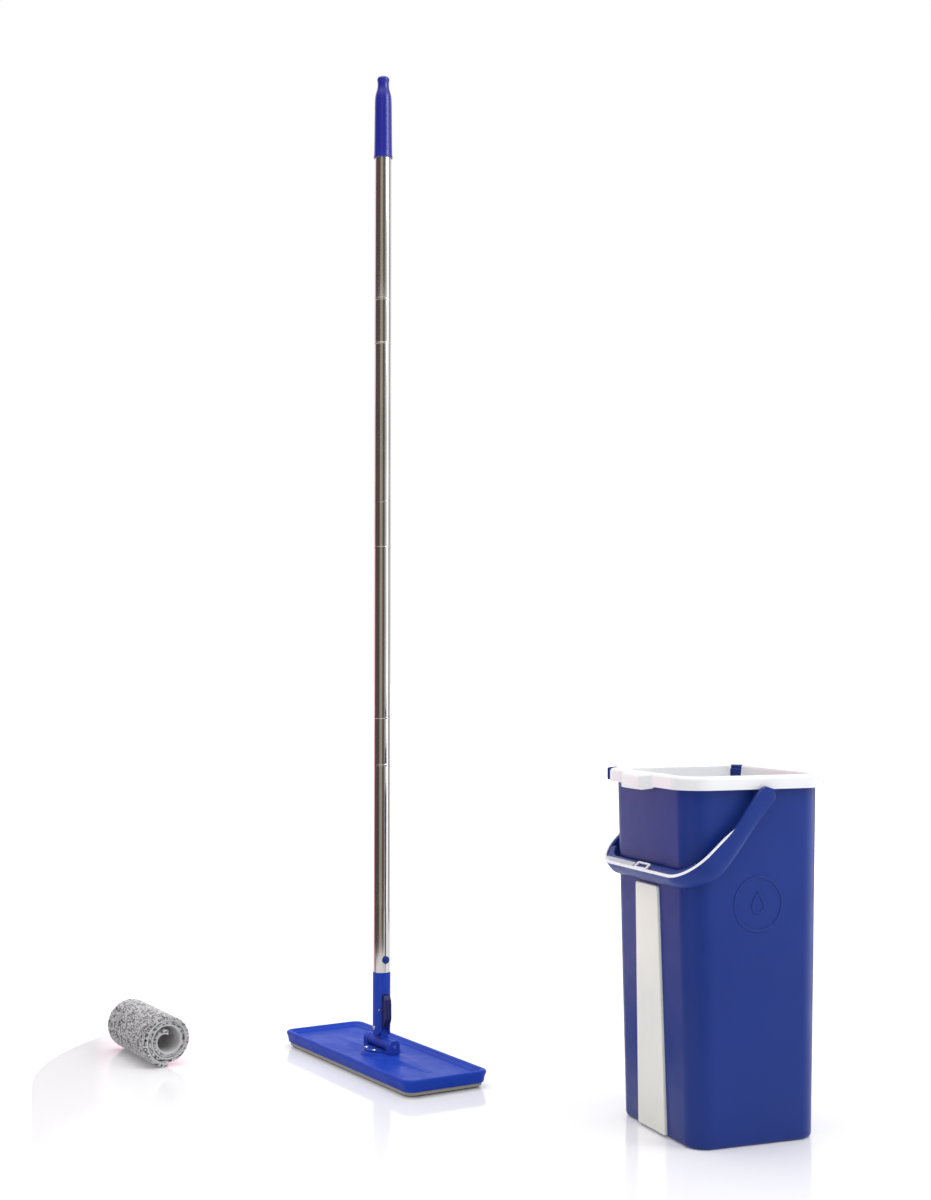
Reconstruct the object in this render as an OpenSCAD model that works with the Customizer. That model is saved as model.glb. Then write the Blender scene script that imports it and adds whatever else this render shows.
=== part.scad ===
// Self-wash flat mop set: a tall bucket with a lift-out wringer insert and a swinging handle,
// a flat mop with a folding head on a sectional pole, and a spare pad rolled up.
// Origin: centre of the bucket's base on the floor. +Z is up, -Y is the striped front, +X the crest side.

/* [Bucket] */
// Width of the bucket just under its rim, across the striped front
bucket_top_w = 182; // [176:1:184]
// Depth of the bucket just under its rim
bucket_top_d = 163; // [158:1:165]
// Width of the bucket at its base
bucket_base_w = 172; // [166:1:176]
// Depth of the bucket at its base
bucket_base_d = 148; // [144:1:154]
// Thickness of the bucket's wall
wall = 2.5; // [2:0.1:2.8]

/* [Insert] */
// Width of the insert's rim
rim_w = 198; // [197:1:199]
// Depth of the insert's rim
rim_d = 180; // [179:1:181]
// Height of the rim's top above the floor
rim_top = 381; // [380:1:382]
// Height of the rim's outer skirt
skirt_h = 14; // [13:1:15]
// Width of the two slots, along the front
slot_w = 130; // [126:1:132]
// Depth of each slot
slot_d = 55; // [50:1:55]

/* [Handle] */
// Angle at which the handle hangs below level
handle_hang = 41; // [40:1:42]
// Distance from the pivots to the front of the grip
handle_reach = 128; // [126:1:132]
// Half of the handle's outside width
handle_half_w = 107; // [106:0.5:110]

/* [Mop] */
// Length of the mop head
head_l = 330; // [320:1:340]
// Width of the mop head
head_w = 113; // [108:1:116]
// Outside diameter of the pole's tubes
pole_d = 21; // [20.8:0.1:21.2]
// Height of the whole mop
mop_h = 1240; // [1200:1:1300]
// Place of the mop beside the bucket, in X
mop_x = -390; // [-420:1:-370]
// Place of the mop beside the bucket, in Y
mop_y = -250; // [-300:1:-240]
// Turn of the mop head from the X axis
mop_turn = 10; // [0:1:15]

/* [Spare pad] */
// Outside diameter of the rolled pad
roll_d = 65; // [60:1:70]
// Length of the roll, which is the pad's width
roll_l = 131; // [120:1:140]
// Place of the roll in X
roll_x = -540; // [-600:1:-520]
// Place of the roll in Y
roll_y = -510; // [-560:1:-480]
// Turn of the roll from the X axis
roll_turn = 10; // [0:1:15]

/* [Hidden] */
$fn = 64;

blue = [0.13, 0.17, 0.55];
navy = [0.06, 0.08, 0.25];
ivory = [0.87, 0.87, 0.83];
white = [0.95, 0.95, 0.96];
steel = [0.75, 0.75, 0.76];
grey = [0.55, 0.55, 0.56];

eps = 0.2;                 // thickness of the slices that a lofted shape is drawn from
cut = 1;                   // how far a cutting shape runs past a face

// Bucket
bucket_rim_z = 367;        // height at which the top width and depth are taken
bucket_wall_top = 376.8;   // top edge of the wall, on which the insert rests
base_r = 23;               // corner radius at the base
top_r = 27;                // corner radius at the top
floor_z = 5;               // inside of the bottom
foot_h = 2.5;              // height of the foot ring
lip_z = 368;               // underside of the stiffening lip
lip_out = 4.5;             // how far the lip stands out of the wall
pivot_y = 2;               // handle pivot line
pivot_z = 360.5;
stud_r = 5;
stud_gap = 0.06;           // running clearance round a stud or pin
crest_z = 248;             // centre of the raised ring on the +X side
crest_r = 29;
side_slope = atan((bucket_top_w - bucket_base_w) / 2 / bucket_rim_z);
front_slope = atan((bucket_top_d - bucket_base_d) / 2 / bucket_rim_z);

// Insert
rim_r = 33;                // outer corner radius of the rim
rim_round = 4;             // rounding of the rim's outer top edge
skirt_t = 2.2;
rim_inner = 11.4;          // width of the rim's flat top, from its outer face
inner_round = 2.2;         // rounding of the rim's inner top edge
rim_seat_z = bucket_wall_top + 0.2; // underside of the rim, just clear of the bucket's wall
deck_z = 350;              // underside of the slotted deck
deck_t = 2.4;
shaft_wall = 2.2;
shaft_bottom = 45;
slot_y = 30;               // centre of each slot from the middle
screw_x = 71.5;            // screws that hold the shafts' flanges
screw_y = 16;

// Handle
arm_t = 6;                 // thickness of the arms
arm_in = handle_half_w - arm_t;
handle_corner_r = 40;
trim_t = 1.6;

// Mop levels above the floor
pile_top = 7;
backing_top = 8.5;
plate_bottom = 8.6;
plate_rim = 20.6;
panel_z = 15.5;
seat_z = 19.6;             // top of the plate's raised middle
tilt_z = 28.8;             // side-tilt axis, along the head
fold_z = 47;               // folding axis, across the head
sleeve_top = 115;
button_z = 131;
tab_pivot_z = 70;
tab_pivot_u = 8.6;
grip_z = 1135;
tube_wall = 0.6;
sleeve_r = 10.9;
// Lower and upper ends of the short couplings between the tubes
joints_z = [[370, 431], [641, 701], [898, 956]];

// Rolled pad
roll_core = 13;            // radius of the hole
roll_turns = 2.25;
roll_gap = 0.6;            // air between the turns
backing_t = 1.3;
roll_pitch = (roll_d / 2 - roll_core) / (roll_turns + 1);

function bucket_w(z) = bucket_base_w + (bucket_top_w - bucket_base_w) * z / bucket_rim_z;
function bucket_d(z) = bucket_base_d + (bucket_top_d - bucket_base_d) * z / bucket_rim_z;
function bucket_r(z) = base_r + (top_r - base_r) * z / bucket_rim_z;

// ---- shared shapes ----

module rounded_rect(w, d, r) {
    square([w - 2 * r, d], center = true);
    square([w, d - 2 * r], center = true);
    for (sx = [-1, 1], sy = [-1, 1])
        translate([sx * (w / 2 - r), sy * (d / 2 - r)]) circle(r);
}

module slice(w, d, r, z) {
    translate([0, 0, z]) linear_extrude(eps) rounded_rect(w, d, r);
}

module bucket_slice(z, inset) {
    slice(bucket_w(z) - 2 * inset, bucket_d(z) - 2 * inset, bucket_r(z) - inset, z);
}

// Runs a profile round a rounded rectangle: profile x is outward from the outer face, y is height
module sweep_round(w, d, r) {
    for (a = [0, 180]) {
        rotate(a) translate([r - w / 2, d / 2, 0]) rotate([90, 0, 90])
            linear_extrude(w - 2 * r) children();
        rotate(a + 90) translate([r - d / 2, w / 2, 0]) rotate([90, 0, 90])
            linear_extrude(d - 2 * r) children();
    }
    for (k = [0:3])
        translate([(k == 0 || k == 3 ? 1 : -1) * (w / 2 - r), (k < 2 ? 1 : -1) * (d / 2 - r), 0])
            rotate(90 * k) rotate_extrude(angle = 90) translate([r, 0]) children();
}

module along_x(r, x0, x1, y = 0, z = 0) {
    translate([x0, y, z]) rotate([0, 90, 0]) cylinder(r = r, h = x1 - x0);
}

module along_y(r, y0, y1, x = 0, z = 0) {
    translate([x, y1, z]) rotate([90, 0, 0]) cylinder(r = r, h = y1 - y0);
}

module at_mop() {
    translate([mop_x, mop_y, 0]) rotate(mop_turn) children();
}

// ---- bucket ----

// Places a profile round one rim corner on the -X side, from angle a0 to a1 off the X axis
module at_corner(sy, a0, a1) {
    translate([rim_r - rim_w / 2, sy * (rim_d / 2 - rim_r), 0])
        rotate(sy < 0 ? 180 + a0 : 180 - a1)
            rotate_extrude(angle = a1 - a0) children();
}

// Lip that stands up outside the rim, as radius about the corner's centre and height
module pour_lip_profile() {
    polygon([
        [26.5, lip_z], [rim_r + 1.8, lip_z], [rim_r + 3, lip_z + 1.5], [rim_r + 3, rim_top - 1],
        [rim_r + 1.8, rim_top + 0.6], [rim_r - 1.6, rim_top + 0.6], [rim_r - 1.8, bucket_wall_top],
        [26.5, bucket_wall_top]
    ]);
}

// Wall that closes the pouring corner up to the rim's height
module corner_wall_profile() {
    polygon([
        [24.2, lip_z - 6], [26.6, lip_z - 6], [rim_r + 3, lip_z], [rim_r + 3, rim_top - 1],
        [rim_r + 1.8, rim_top], [24.6, rim_top - 0.4]
    ]);
}

module drop_outline(r) {
    circle(r);
    polygon([[-r * 0.97, r * 0.25], [0, r * 2.3], [r * 0.97, r * 0.25]]);
}

module crest() {
    ring = 2.2;
    relief = 0.9;
    translate([bucket_w(crest_z) / 2 - 0.6, 0, crest_z]) rotate([90, 0, 90]) rotate([side_slope, 0, 0])
        linear_extrude(relief + 0.6) {
            difference() {
                circle(crest_r);
                circle(crest_r - ring);
            }
            difference() {
                translate([0, -5]) drop_outline(10);
                translate([0, -5]) drop_outline(7.6);
            }
        }
}

module bucket_shell() {
    hull() {
        bucket_slice(0, 4);
        bucket_slice(1.4, 1.6);
        bucket_slice(4.5, 0);
        bucket_slice(bucket_wall_top - eps, 0);
    }
    translate([0, 0, lip_z]) linear_extrude(3)
        rounded_rect(bucket_top_w + 2 * lip_out, bucket_top_d + 2 * lip_out, top_r + lip_out);
    for (s = [-1, 1])
        along_x(9, min(s * 88.6, s * 96.2), max(s * 88.6, s * 96.2), pivot_y, pivot_z);
}

module bucket_body() {
    color(blue) {
        difference() {
            bucket_shell();
            hull() {
                bucket_slice(floor_z, wall);
                bucket_slice(bucket_wall_top + cut, wall);
            }
            // recess inside the foot ring, with a foot left at the middle
            translate([0, 0, -cut]) linear_extrude(foot_h + cut) difference() {
                rounded_rect(bucket_base_w - 26, bucket_base_d - 26, base_r - 10);
                circle(14);
            }
            for (s = [-1, 1])
                along_x(stud_r + stud_gap, min(s * 80, s * 98), max(s * 80, s * 98), pivot_y, pivot_z);
        }
        crest();
        at_corner(-1, 21, 60) pour_lip_profile();
        at_corner(1, 34, 73) corner_wall_profile();
    }
}

// Pale strip down the front, wider at the base
module front_strip() {
    low = 3;
    high = 262.5;
    centre = -3;
    proud = 3.4;
    bevel = 1.3;
    module outline(inset) {
        polygon([
            [-30.5 + inset, low], [30.5 - inset, low],
            [24.5 - inset, high - inset], [-24.5 + inset, high - inset]
        ]);
    }
    color(ivory)
        translate([centre, -bucket_base_d / 2, 0]) rotate([90 + front_slope, 0, 0])
            hull() {
                linear_extrude(proud - bevel) outline(0);
                linear_extrude(proud) outline(bevel);
            }
}

// ---- lift-out insert ----

// Outward from the rim's outer face, and height: skirt, flat top, then a wall sloping in to the deck
module rim_profile() {
    polygon([
        [0, rim_top - skirt_h], [0, rim_top - rim_round], [-rim_round, rim_top], [-rim_inner, rim_top],
        [-rim_inner - inner_round, rim_top - inner_round], [-17, deck_z], [-14.8, deck_z],
        [-12.2, rim_seat_z], [-skirt_t, rim_seat_z], [-skirt_t, rim_top - skirt_h]
    ]);
    // rounded outer and inner edges of the top
    intersection() {
        union() {
            translate([-rim_round, rim_top - rim_round]) circle(rim_round);
            translate([-rim_inner, rim_top - inner_round]) circle(inner_round);
        }
        translate([-rim_inner - inner_round, rim_seat_z]) square([rim_inner + inner_round, skirt_h]);
    }
}

module slot_outline(grow) {
    translate([0, slot_y]) rounded_rect(slot_w + 2 * grow, slot_d + 2 * grow, 5 + grow);
    translate([0, -slot_y / 2 - 1]) rounded_rect(slot_w + 2 * grow, 27 + 2 * grow, 4 + grow);
    translate([0, -slot_y - slot_d / 4]) rounded_rect(42 + 2 * grow, 27.5 + 2 * grow, 4 + grow);
    translate([-21 - grow, -40]) square([42 + 2 * grow, 20]);
}

// Tab under the rim's front for the fingers, with a short left flank and a longer right one
module finger_tab() {
    front = -rim_d / 2;
    flank_x = [-35, 24];
    face_x = [-30, 12];
    face_out = 5.5;
    ball = 2.5;
    hull() {
        for (z = [rim_top - 15.5, rim_top - 4]) {
            for (x = face_x) translate([x, front - face_out, z]) sphere(r = ball, $fn = 24);
            translate([flank_x[0], front + 1, z]) sphere(r = ball, $fn = 24);
            translate([flank_x[1], front + 2, z]) sphere(r = ball, $fn = 24);
        }
        for (x = flank_x) translate([x, front + 4, rim_top - 2.4]) sphere(r = 2, $fn = 24);
    }
}

module insert_top() {
    color(white) difference() {
        union() {
            sweep_round(rim_w, rim_d, rim_r) rim_profile();
            translate([0, 0, deck_z]) linear_extrude(deck_t)
                rounded_rect(rim_w - 30.4, rim_d - 30.4, rim_r - 15.2);
            translate([0, 0, deck_z]) linear_extrude(deck_t + 3) slot_outline(2);
            difference() {
                finger_tab();
                // clear of the bucket's wall below the rim, and of the rim's inner side
                translate([0, 0, deck_z]) linear_extrude(rim_seat_z - deck_z)
                    rounded_rect(rim_w - 2 * skirt_t, rim_d - 2 * skirt_t, rim_r - skirt_t);
                translate([0, 0, deck_z]) linear_extrude(2 * skirt_h + 20)
                    rounded_rect(rim_w - 12, rim_d - 12, rim_r - 6);
            }
        }
        translate([0, 0, deck_z - cut]) linear_extrude(40) slot_outline(0);
        // skirt cut away for the bucket's corner lip
        at_corner(-1, 19.5, 61.5) translate([rim_r - skirt_t - 0.3, bucket_wall_top - 20]) square([10, 40]);
        // corner left open to pour from
        at_corner(1, 32.5, 74.5) translate([9, deck_z - cut]) square([34, 50]);
        for (s = [-1, 1], side = [-1, 1], k = [-1, 1])
            translate([s * screw_x, side * slot_y + k * screw_y, deck_z - cut])
                cylinder(r = 1.4, h = deck_t / 2 + cut);
    }
}

// One guide shaft, which hangs under the deck by its two flanges
module shaft(side) {
    flange_t = 3;
    top = deck_z - 0.1;
    translate([0, side * slot_y, 0]) difference() {
        union() {
            translate([0, 0, shaft_bottom]) linear_extrude(top - shaft_bottom)
                rounded_rect(slot_w + 2 * shaft_wall, slot_d + 2 * shaft_wall, 6);
            translate([0, 0, top - flange_t]) linear_extrude(flange_t)
                rounded_rect(2 * screw_x + 10, slot_d + 2 * shaft_wall, 5);
        }
        translate([0, 0, shaft_bottom - cut]) linear_extrude(400) rounded_rect(slot_w, slot_d, 4);
        for (s = [-1, 1], k = [-1, 1])
            translate([s * screw_x, k * screw_y, top - flange_t - cut])
                cylinder(r = 2, h = flange_t + 2 * cut);
        children();
    }
}

module wash_shaft() {
    color(white) shaft(1) {
        // water windows in the outer wall
        for (x = [-40, 0, 40], z = [70:48:262])
            translate([x, slot_d / 2 + shaft_wall / 2, z]) rotate([90, 0, 0])
                linear_extrude(3 * shaft_wall, center = true) rounded_rect(22, 30, 5);
    }
}

module wring_shaft() {
    color(white) shaft(-1) {
        // drain windows near the bottom, so the wrung water runs back
        for (x = [-40, 0, 40])
            translate([x, -slot_d / 2 - shaft_wall / 2, 70]) rotate([90, 0, 0])
                linear_extrude(3 * shaft_wall, center = true) rounded_rect(22, 30, 5);
    }
}

// Ribbed strips that rub the pad in the wash slot
module scrub_strips() {
    strip_z = 300;
    strip_h = 40;
    rib = 4;
    color(grey) for (s = [-1, 1])
        translate([0, slot_y + s * slot_d / 2, strip_z]) mirror([0, s > 0 ? 1 : 0, 0])
            rotate([90, 0, 90]) linear_extrude(slot_w - 16, center = true) {
                square([2, strip_h]);
                for (k = [0:4]) translate([1.5, 3 + 8 * k])
                    polygon([[0, 0], [rib, 1.6], [rib, 2.4], [0, 4.5]]);
            }
}

// Bar on the middle wall that carries the wringing blade
module blade_holder() {
    back = -slot_y + slot_d / 2;
    color(white) translate([0, back, 322]) rotate([90, 0, 90])
        linear_extrude(slot_w - 8, center = true)
            polygon([[0, 0], [0, 26], [-5, 26], [-6.5, 23], [-6.5, 19.2], [-3, 17.4], [-3, 0]]);
}

// Soft lip that presses the water out of the pad
module squeeze_blade() {
    back = -slot_y + slot_d / 2 - 3;
    color(grey) translate([0, back, 322]) rotate([90, 0, 90])
        linear_extrude(slot_w - 8, center = true)
            polygon([[0, 0], [0, 17], [-3.2, 18.8], [-6.4, 12], [-6.4, 9.5], [-2, 13], [-2, 0]]);
}

module insert_screws() {
    head_z = deck_z - 3.1;
    color(steel) for (s = [-1, 1], side = [-1, 1], k = [-1, 1])
        translate([s * screw_x, side * slot_y + k * screw_y, head_z]) {
            difference() {
                translate([0, 0, -2]) rotate_extrude() polygon([[0, 0], [2, 0], [3.4, 1], [3.4, 2], [0, 2]]);
                for (a = [0, 90]) rotate(a) translate([-1.8, -0.4, -2 - cut]) cube([3.6, 0.8, cut + 1]);
            }
            cylinder(r = 1.35, h = 4.2);
        }
}

// ---- handle ----

// Drawn level, pivots on the X axis and the grip towards -Y, then turned down to hang
module hang_handle() {
    translate([0, pivot_y, pivot_z]) rotate([handle_hang, 0, 0]) children();
}

module handle_path(out, inside) {
    difference() {
        u_outline(out, handle_corner_r);
        u_outline(inside, handle_corner_r - out + inside);
    }
}

// U outline whose sides stand d from the middle and whose front is in step with them
module u_outline(d, r) {
    front = handle_reach - handle_half_w + d;
    translate([-d, -front + r]) square([2 * d, front - r + 20]);
    translate([-d + r, -front]) square([2 * d - 2 * r, front]);
    for (s = [-1, 1]) translate([s * (d - r), -front + r]) circle(r);
}

module handle_bail() {
    color(blue) hang_handle() {
        intersection() {
            translate([0, 0, -40]) linear_extrude(80) handle_path(handle_half_w, arm_in);
            // side outline of the band: round at the pivots, deeper towards the grip
            rotate([90, 0, 90]) linear_extrude(2 * handle_half_w + 2, center = true) {
                circle(10);
                polygon([
                    [0, 10], [-28, 5], [-50, 0], [-handle_reach - 1, 0], [-handle_reach - 1, -17],
                    [4 - handle_reach, -17], [7 - handle_reach, -14.2], [10 - handle_reach, -19],
                    [-92, -24], [-60, -20], [-30, -13.5], [0, -10]
                ]);
            }
        }
        for (s = [-1, 1]) {
            along_x(6, min(s * 96.9, s * (arm_in + 0.5)), max(s * 96.9, s * (arm_in + 0.5)));
            along_x(stud_r, min(s * 86.6, s * 97), max(s * 86.6, s * 97));
        }
        // inner flange that the fingers pull on
        intersection() {
            translate([0, 0, -3]) linear_extrude(3) handle_path(handle_half_w - 1, arm_in - 7);
            translate([-85, -handle_reach, -20]) cube([170, 22, 20]);
        }
    }
}

// Pale trim along the handle's upper edge, with finger ribs and a small clip
module handle_trim() {
    ribs = 19;
    rib_step = 3.6;
    grip_in = handle_reach - arm_t;
    color(white) hang_handle() {
        intersection() {
            translate([0, 0, 0.02]) linear_extrude(trim_t)
                handle_path(handle_half_w - 0.6, handle_half_w - 4);
            translate([-handle_half_w, -handle_reach, 0]) cube([2 * handle_half_w, handle_reach - 52, 5]);
        }
        for (k = [0:ribs - 1])
            translate([-82 + rib_step * k, -grip_in - 2, 0.02]) cube([1.5, 5.5, trim_t]);
        translate([-10, -grip_in - 2, 0.02]) difference() {
            linear_extrude(trim_t + 0.6) translate([14, 3]) rounded_rect(28, 9, 2.5);
            translate([3, -cut, -cut]) cube([22, 5.5, 5]);
        }
    }
}

// ---- mop head ----

module head_slice(inset, r, z) {
    slice(head_l - 2 * inset, head_w - 2 * inset, r, z);
}

module head_plate() {
    color(blue) at_mop() difference() {
        union() {
            difference() {
                hull() {
                    head_slice(8, 8, plate_bottom);
                    head_slice(1.2, 13, plate_rim - 5.2);
                    head_slice(0.2, 14, plate_rim - 3);
                    head_slice(0.7, 13.5, plate_rim - 1.2);
                    head_slice(2.2, 12, plate_rim - eps);
                }
                hull() {
                    head_slice(6, 9, plate_rim);
                    head_slice(8.5, 7, panel_z + 2.2);
                }
                hull() {
                    head_slice(10.5, 6, panel_z + 2.2);
                    head_slice(12.5, 5, panel_z);
                }
            }
            // raised middle, running out to a long spine
            hull() {
                translate([0, 0, panel_z - 1]) cylinder(r = 27, h = 1.2);
                translate([0, 0, seat_z - eps]) cylinder(r = 23, h = eps);
                for (s = [-1, 1]) translate([s * 112, 0, panel_z - 1]) cylinder(r = 9, h = 1.2);
            }
        }
        for (s = [-1, 1]) translate([-146, s * 30 - 11.2, plate_bottom - cut]) cube([292, 22.4, cut + 1.1]);
        for (su = [-1, 1], sv = [-1, 1])
            translate([su * 10, sv * 15, seat_z - 8]) cylinder(r = 1.5, h = 10);
    }
}

// Hook-and-loop strips under the plate
module hook_strips() {
    color(navy) at_mop() for (s = [-1, 1])
        translate([-145, s * 30 - 11, backing_top]) cube([290, 22, 1.15]);
}

module pad_backing() {
    color(grey) at_mop() translate([0, 0, pile_top]) linear_extrude(backing_top - pile_top)
        rounded_rect(head_l - 11, head_w - 11, 12);
}

module pad_pile() {
    color([0.6, 0.6, 0.6]) at_mop() linear_extrude(pile_top) rounded_rect(head_l - 9, head_w - 9, 13);
}

module swivel_base() {
    foot_t = 2.2;
    ear_r = 7;
    color(blue) at_mop() difference() {
        union() {
            translate([0, 0, seat_z]) linear_extrude(foot_t) {
                circle(21);
                rounded_rect(70, 17, 6);
            }
            for (s = [-1, 1]) {
                along_x(ear_r, min(s * 24, s * 34), max(s * 24, s * 34), 0, tilt_z);
                translate([s * 29 - 5, -ear_r, seat_z]) cube([10, 2 * ear_r, tilt_z - seat_z]);
            }
        }
        along_x(2.5, -32, 40, 0, tilt_z);
        for (su = [-1, 1], sv = [-1, 1])
            translate([su * 10, sv * 15, seat_z - cut]) cylinder(r = 1.8, h = 5);
    }
}

module swivel_screws() {
    color(steel) at_mop() for (su = [-1, 1], sv = [-1, 1])
        translate([su * 10, sv * 15, seat_z]) {
            difference() {
                translate([0, 0, 2.2]) rotate_extrude()
                    polygon([[0, 0], [3.2, 0], [3.2, 0.8], [2, 1.7], [0, 1.8]]);
                for (a = [0, 90]) rotate(a) translate([-1.7, -0.35, 3]) cube([3.4, 0.7, 2]);
            }
            translate([0, 0, -7]) cylinder(r = 1.45, h = 9.3);
        }
}

module base_pin() {
    color(steel) at_mop() along_x(2.5 - 0.01, -31.5, 33.6, 0, tilt_z);
}

module swivel_yoke() {
    tongue_r = 6.5;
    tongue_t = 9;
    color(blue) at_mop() difference() {
        union() {
            along_x(6.8, -23.6, 23.6, 0, tilt_z);
            translate([0, tongue_t / 2, 0]) rotate([90, 0, 0]) linear_extrude(tongue_t) {
                translate([0, fold_z]) circle(tongue_r);
                polygon([
                    [-11, tilt_z], [11, tilt_z], [tongue_r, fold_z], [-tongue_r, fold_z]
                ]);
            }
        }
        along_x(2.5 + stud_gap, -30, 30, 0, tilt_z);
        along_y(2 + stud_gap, -20, 20, 0, fold_z);
    }
}

// ---- pole ----

module lower_sleeve() {
    slot = 4.8;
    color(blue) at_mop() difference() {
        union() {
            translate([0, 0, fold_z]) cylinder(r = sleeve_r, h = sleeve_top - fold_z);
            intersection() {
                along_y(9.6, -20, 20, 0, fold_z);
                translate([0, 0, fold_z - 20]) cylinder(r = sleeve_r, h = 40);
            }
            translate([0, 0, sleeve_top]) cylinder(r = pole_d / 2 - tube_wall - 0.05, h = 36);
        }
        // hollow core above the fork
        translate([0, 0, 92]) cylinder(r = 7.2, h = 80);
        // fork: open below, and open to -X so that the tongue can swing into it
        along_y(7.2, -slot, slot, 0, fold_z);
        translate([-20, -slot, fold_z - 20]) cube([40, 2 * slot, 20]);
        translate([-20, -slot, fold_z - 20]) cube([20, 2 * slot, 30.2]);
        // pocket of the lock tab
        translate([3, -slot, fold_z - 5]) cube([20, 2 * slot, 47]);
        along_y(2, -20, 20, 0, fold_z);
        along_y(1.25, -8.6, 8.6, tab_pivot_u, tab_pivot_z);
        along_x(4.8, 0, 20, 0, button_z);
        along_x(5.9, 0, 7.6, 0, button_z);
    }
}

module yoke_pin() {
    color(steel) at_mop() {
        along_y(2 - 0.01, -10.4, 10.4, 0, fold_z);
        for (s = [-1, 1]) translate([0, s * 10.4, fold_z]) rotate([-90 * s, 0, 0])
            rotate_extrude() polygon([[0, 0], [2.9, 0], [2.5, 0.9], [0, 1.2]]);
    }
}

module tab_pin() {
    color(steel) at_mop() along_y(1.24, -8.4, 8.4, tab_pivot_u, tab_pivot_z);
}

// Small return spring behind the lock tab
module tab_spring() {
    coils = 4;
    color(steel) at_mop() translate([3.1, 0, 83]) rotate([0, 90, 0])
        for (k = [0:coils - 1]) translate([0, 0, 0.45 + 0.92 * k])
            rotate_extrude() translate([1.9, 0]) circle(0.45, $fn = 24);
}

// Bent leaf spring that pushes the snap button out
module button_spring() {
    color(steel) at_mop() translate([0, 3, button_z]) rotate([90, 0, 0]) linear_extrude(6)
        polygon([[4.3, 4], [4.3, -4], [-6.4, -20], [-6.9, -19.5], [3.8, -3.6], [3.8, 4]]);
}

module lock_tab() {
    half = 4.4;
    color(navy) at_mop() difference() {
        translate([0, half, 0]) rotate([90, 0, 0]) linear_extrude(2 * half)
            polygon([
                [7.2, 50], [7.2, 88], [11.2, 88.4], [14.2, 86.6], [16.4, 83], [17.4, 78], [17.7, 60],
                [16.6, 56.5], [12.4, 49], [11, 47.6], [8.4, 47.6]
            ]);
        along_y(1.25 + 0.05, -10, 10, tab_pivot_u, tab_pivot_z);
    }
}

module snap_button() {
    color(blue) at_mop() translate([4.4, 0, button_z]) rotate([0, 90, 0]) {
        cylinder(r = 5.6, h = 2);
        rotate_extrude() polygon([[0, 0], [4.73, 0], [4.73, 7.1], [4.1, 8], [2.4, 8.6], [0, 8.8]]);
    }
}

module tube(z0, z1) {
    r = pole_d / 2;
    color(steel) at_mop() difference() {
        translate([0, 0, z0]) rotate_extrude()
            polygon([
                [r - tube_wall, 0], [r - 0.35, 0], [r, 0.35], [r, z1 - z0 - 0.35], [r - 0.35, z1 - z0],
                [r - tube_wall, z1 - z0]
            ]);
        children();
    }
}

module coupling(k) {
    r = pole_d / 2 + 0.35;
    h = joints_z[k][1] - joints_z[k][0];
    color(steel) at_mop() translate([0, 0, joints_z[k][0]]) rotate_extrude()
        polygon([
            [r - 1, 0], [r - 0.5, 0], [r, 0.5], [r, 2], [r - 0.3, 2.5], [r - 0.3, h - 2.5], [r, h - 2],
            [r, h - 0.5], [r - 0.5, h], [r - 1, h]
        ]);
}

// Plastic plug with a screw end inside each coupling
module thread_plug(k) {
    r = pole_d / 2 - tube_wall - 0.05;
    reach = 14;
    h = joints_z[k][1] - joints_z[k][0];
    color(navy) at_mop() translate([0, 0, joints_z[k][0] - reach]) {
        cylinder(r = r, h = h + 2 * reach);
        for (n = [0:4]) translate([0, 0, reach + 6 + 5 * n]) cylinder(r = r + 0.2, h = 2.4);
    }
}

module tube_1() { tube(sleeve_top, joints_z[0][0]) along_x(4.8, 0, 20, 0, button_z); }
module tube_2() { tube(joints_z[0][1], joints_z[1][0]); }
module tube_3() { tube(joints_z[1][1], joints_z[2][0]); }
module tube_4() { tube(joints_z[2][1], mop_h - 70); }
module coupling_1() { coupling(0); }
module coupling_2() { coupling(1); }
module coupling_3() { coupling(2); }
module thread_plug_1() { thread_plug(0); }
module thread_plug_2() { thread_plug(1); }
module thread_plug_3() { thread_plug(2); }

// Plastic grip: a long body with a shoulder, a waist and a domed cap
module grip() {
    h = mop_h - grip_z;
    color(blue) at_mop() translate([0, 0, grip_z]) difference() {
        rotate_extrude() {
            polygon([
                [0, 0], [11.9, 0], [12, 1.2], [11.5, 5], [11.2, 20], [10.7, h - 32], [10.4, h - 27],
                [8.4, h - 20], [7.2, h - 14], [7.1, h - 10], [7.6, h - 6], [0, h - 6]
            ]);
            translate([0, h - 7.6]) intersection() {
                circle(7.6);
                square([8, 8]);
            }
        }
        translate([0, 0, -cut]) cylinder(r = pole_d / 2 + 0.03, h = h - 70 + cut);
    }
}

// ---- spare pad ----

module at_roll() {
    translate([roll_x, roll_y, roll_d / 2]) rotate(roll_turn) rotate([90, 0, 90])
        translate([0, 0, -roll_l / 2]) children();
}

// Wound strip between two depths under the roll's outer face
module wound(depth0, depth1) {
    steps = 40;
    last = floor(roll_turns * steps);
    function r_at(k) = roll_core + roll_pitch * (1 + k / steps);
    function at(k, depth) =
        let (a = -90 + (k - last) * 360 / steps, r = r_at(k) - depth) [r * cos(a), r * sin(a)];
    linear_extrude(roll_l)
        polygon(concat([for (k = [0:last]) at(k, depth0)], [for (k = [last:-1:0]) at(k, depth1)]));
}

module spare_pad_pile() {
    color([0.62, 0.62, 0.62]) at_roll() wound(0, roll_pitch - roll_gap - backing_t);
}

module spare_pad_backing() {
    color(grey) at_roll() wound(roll_pitch - roll_gap - backing_t, roll_pitch - roll_gap);
}

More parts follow.
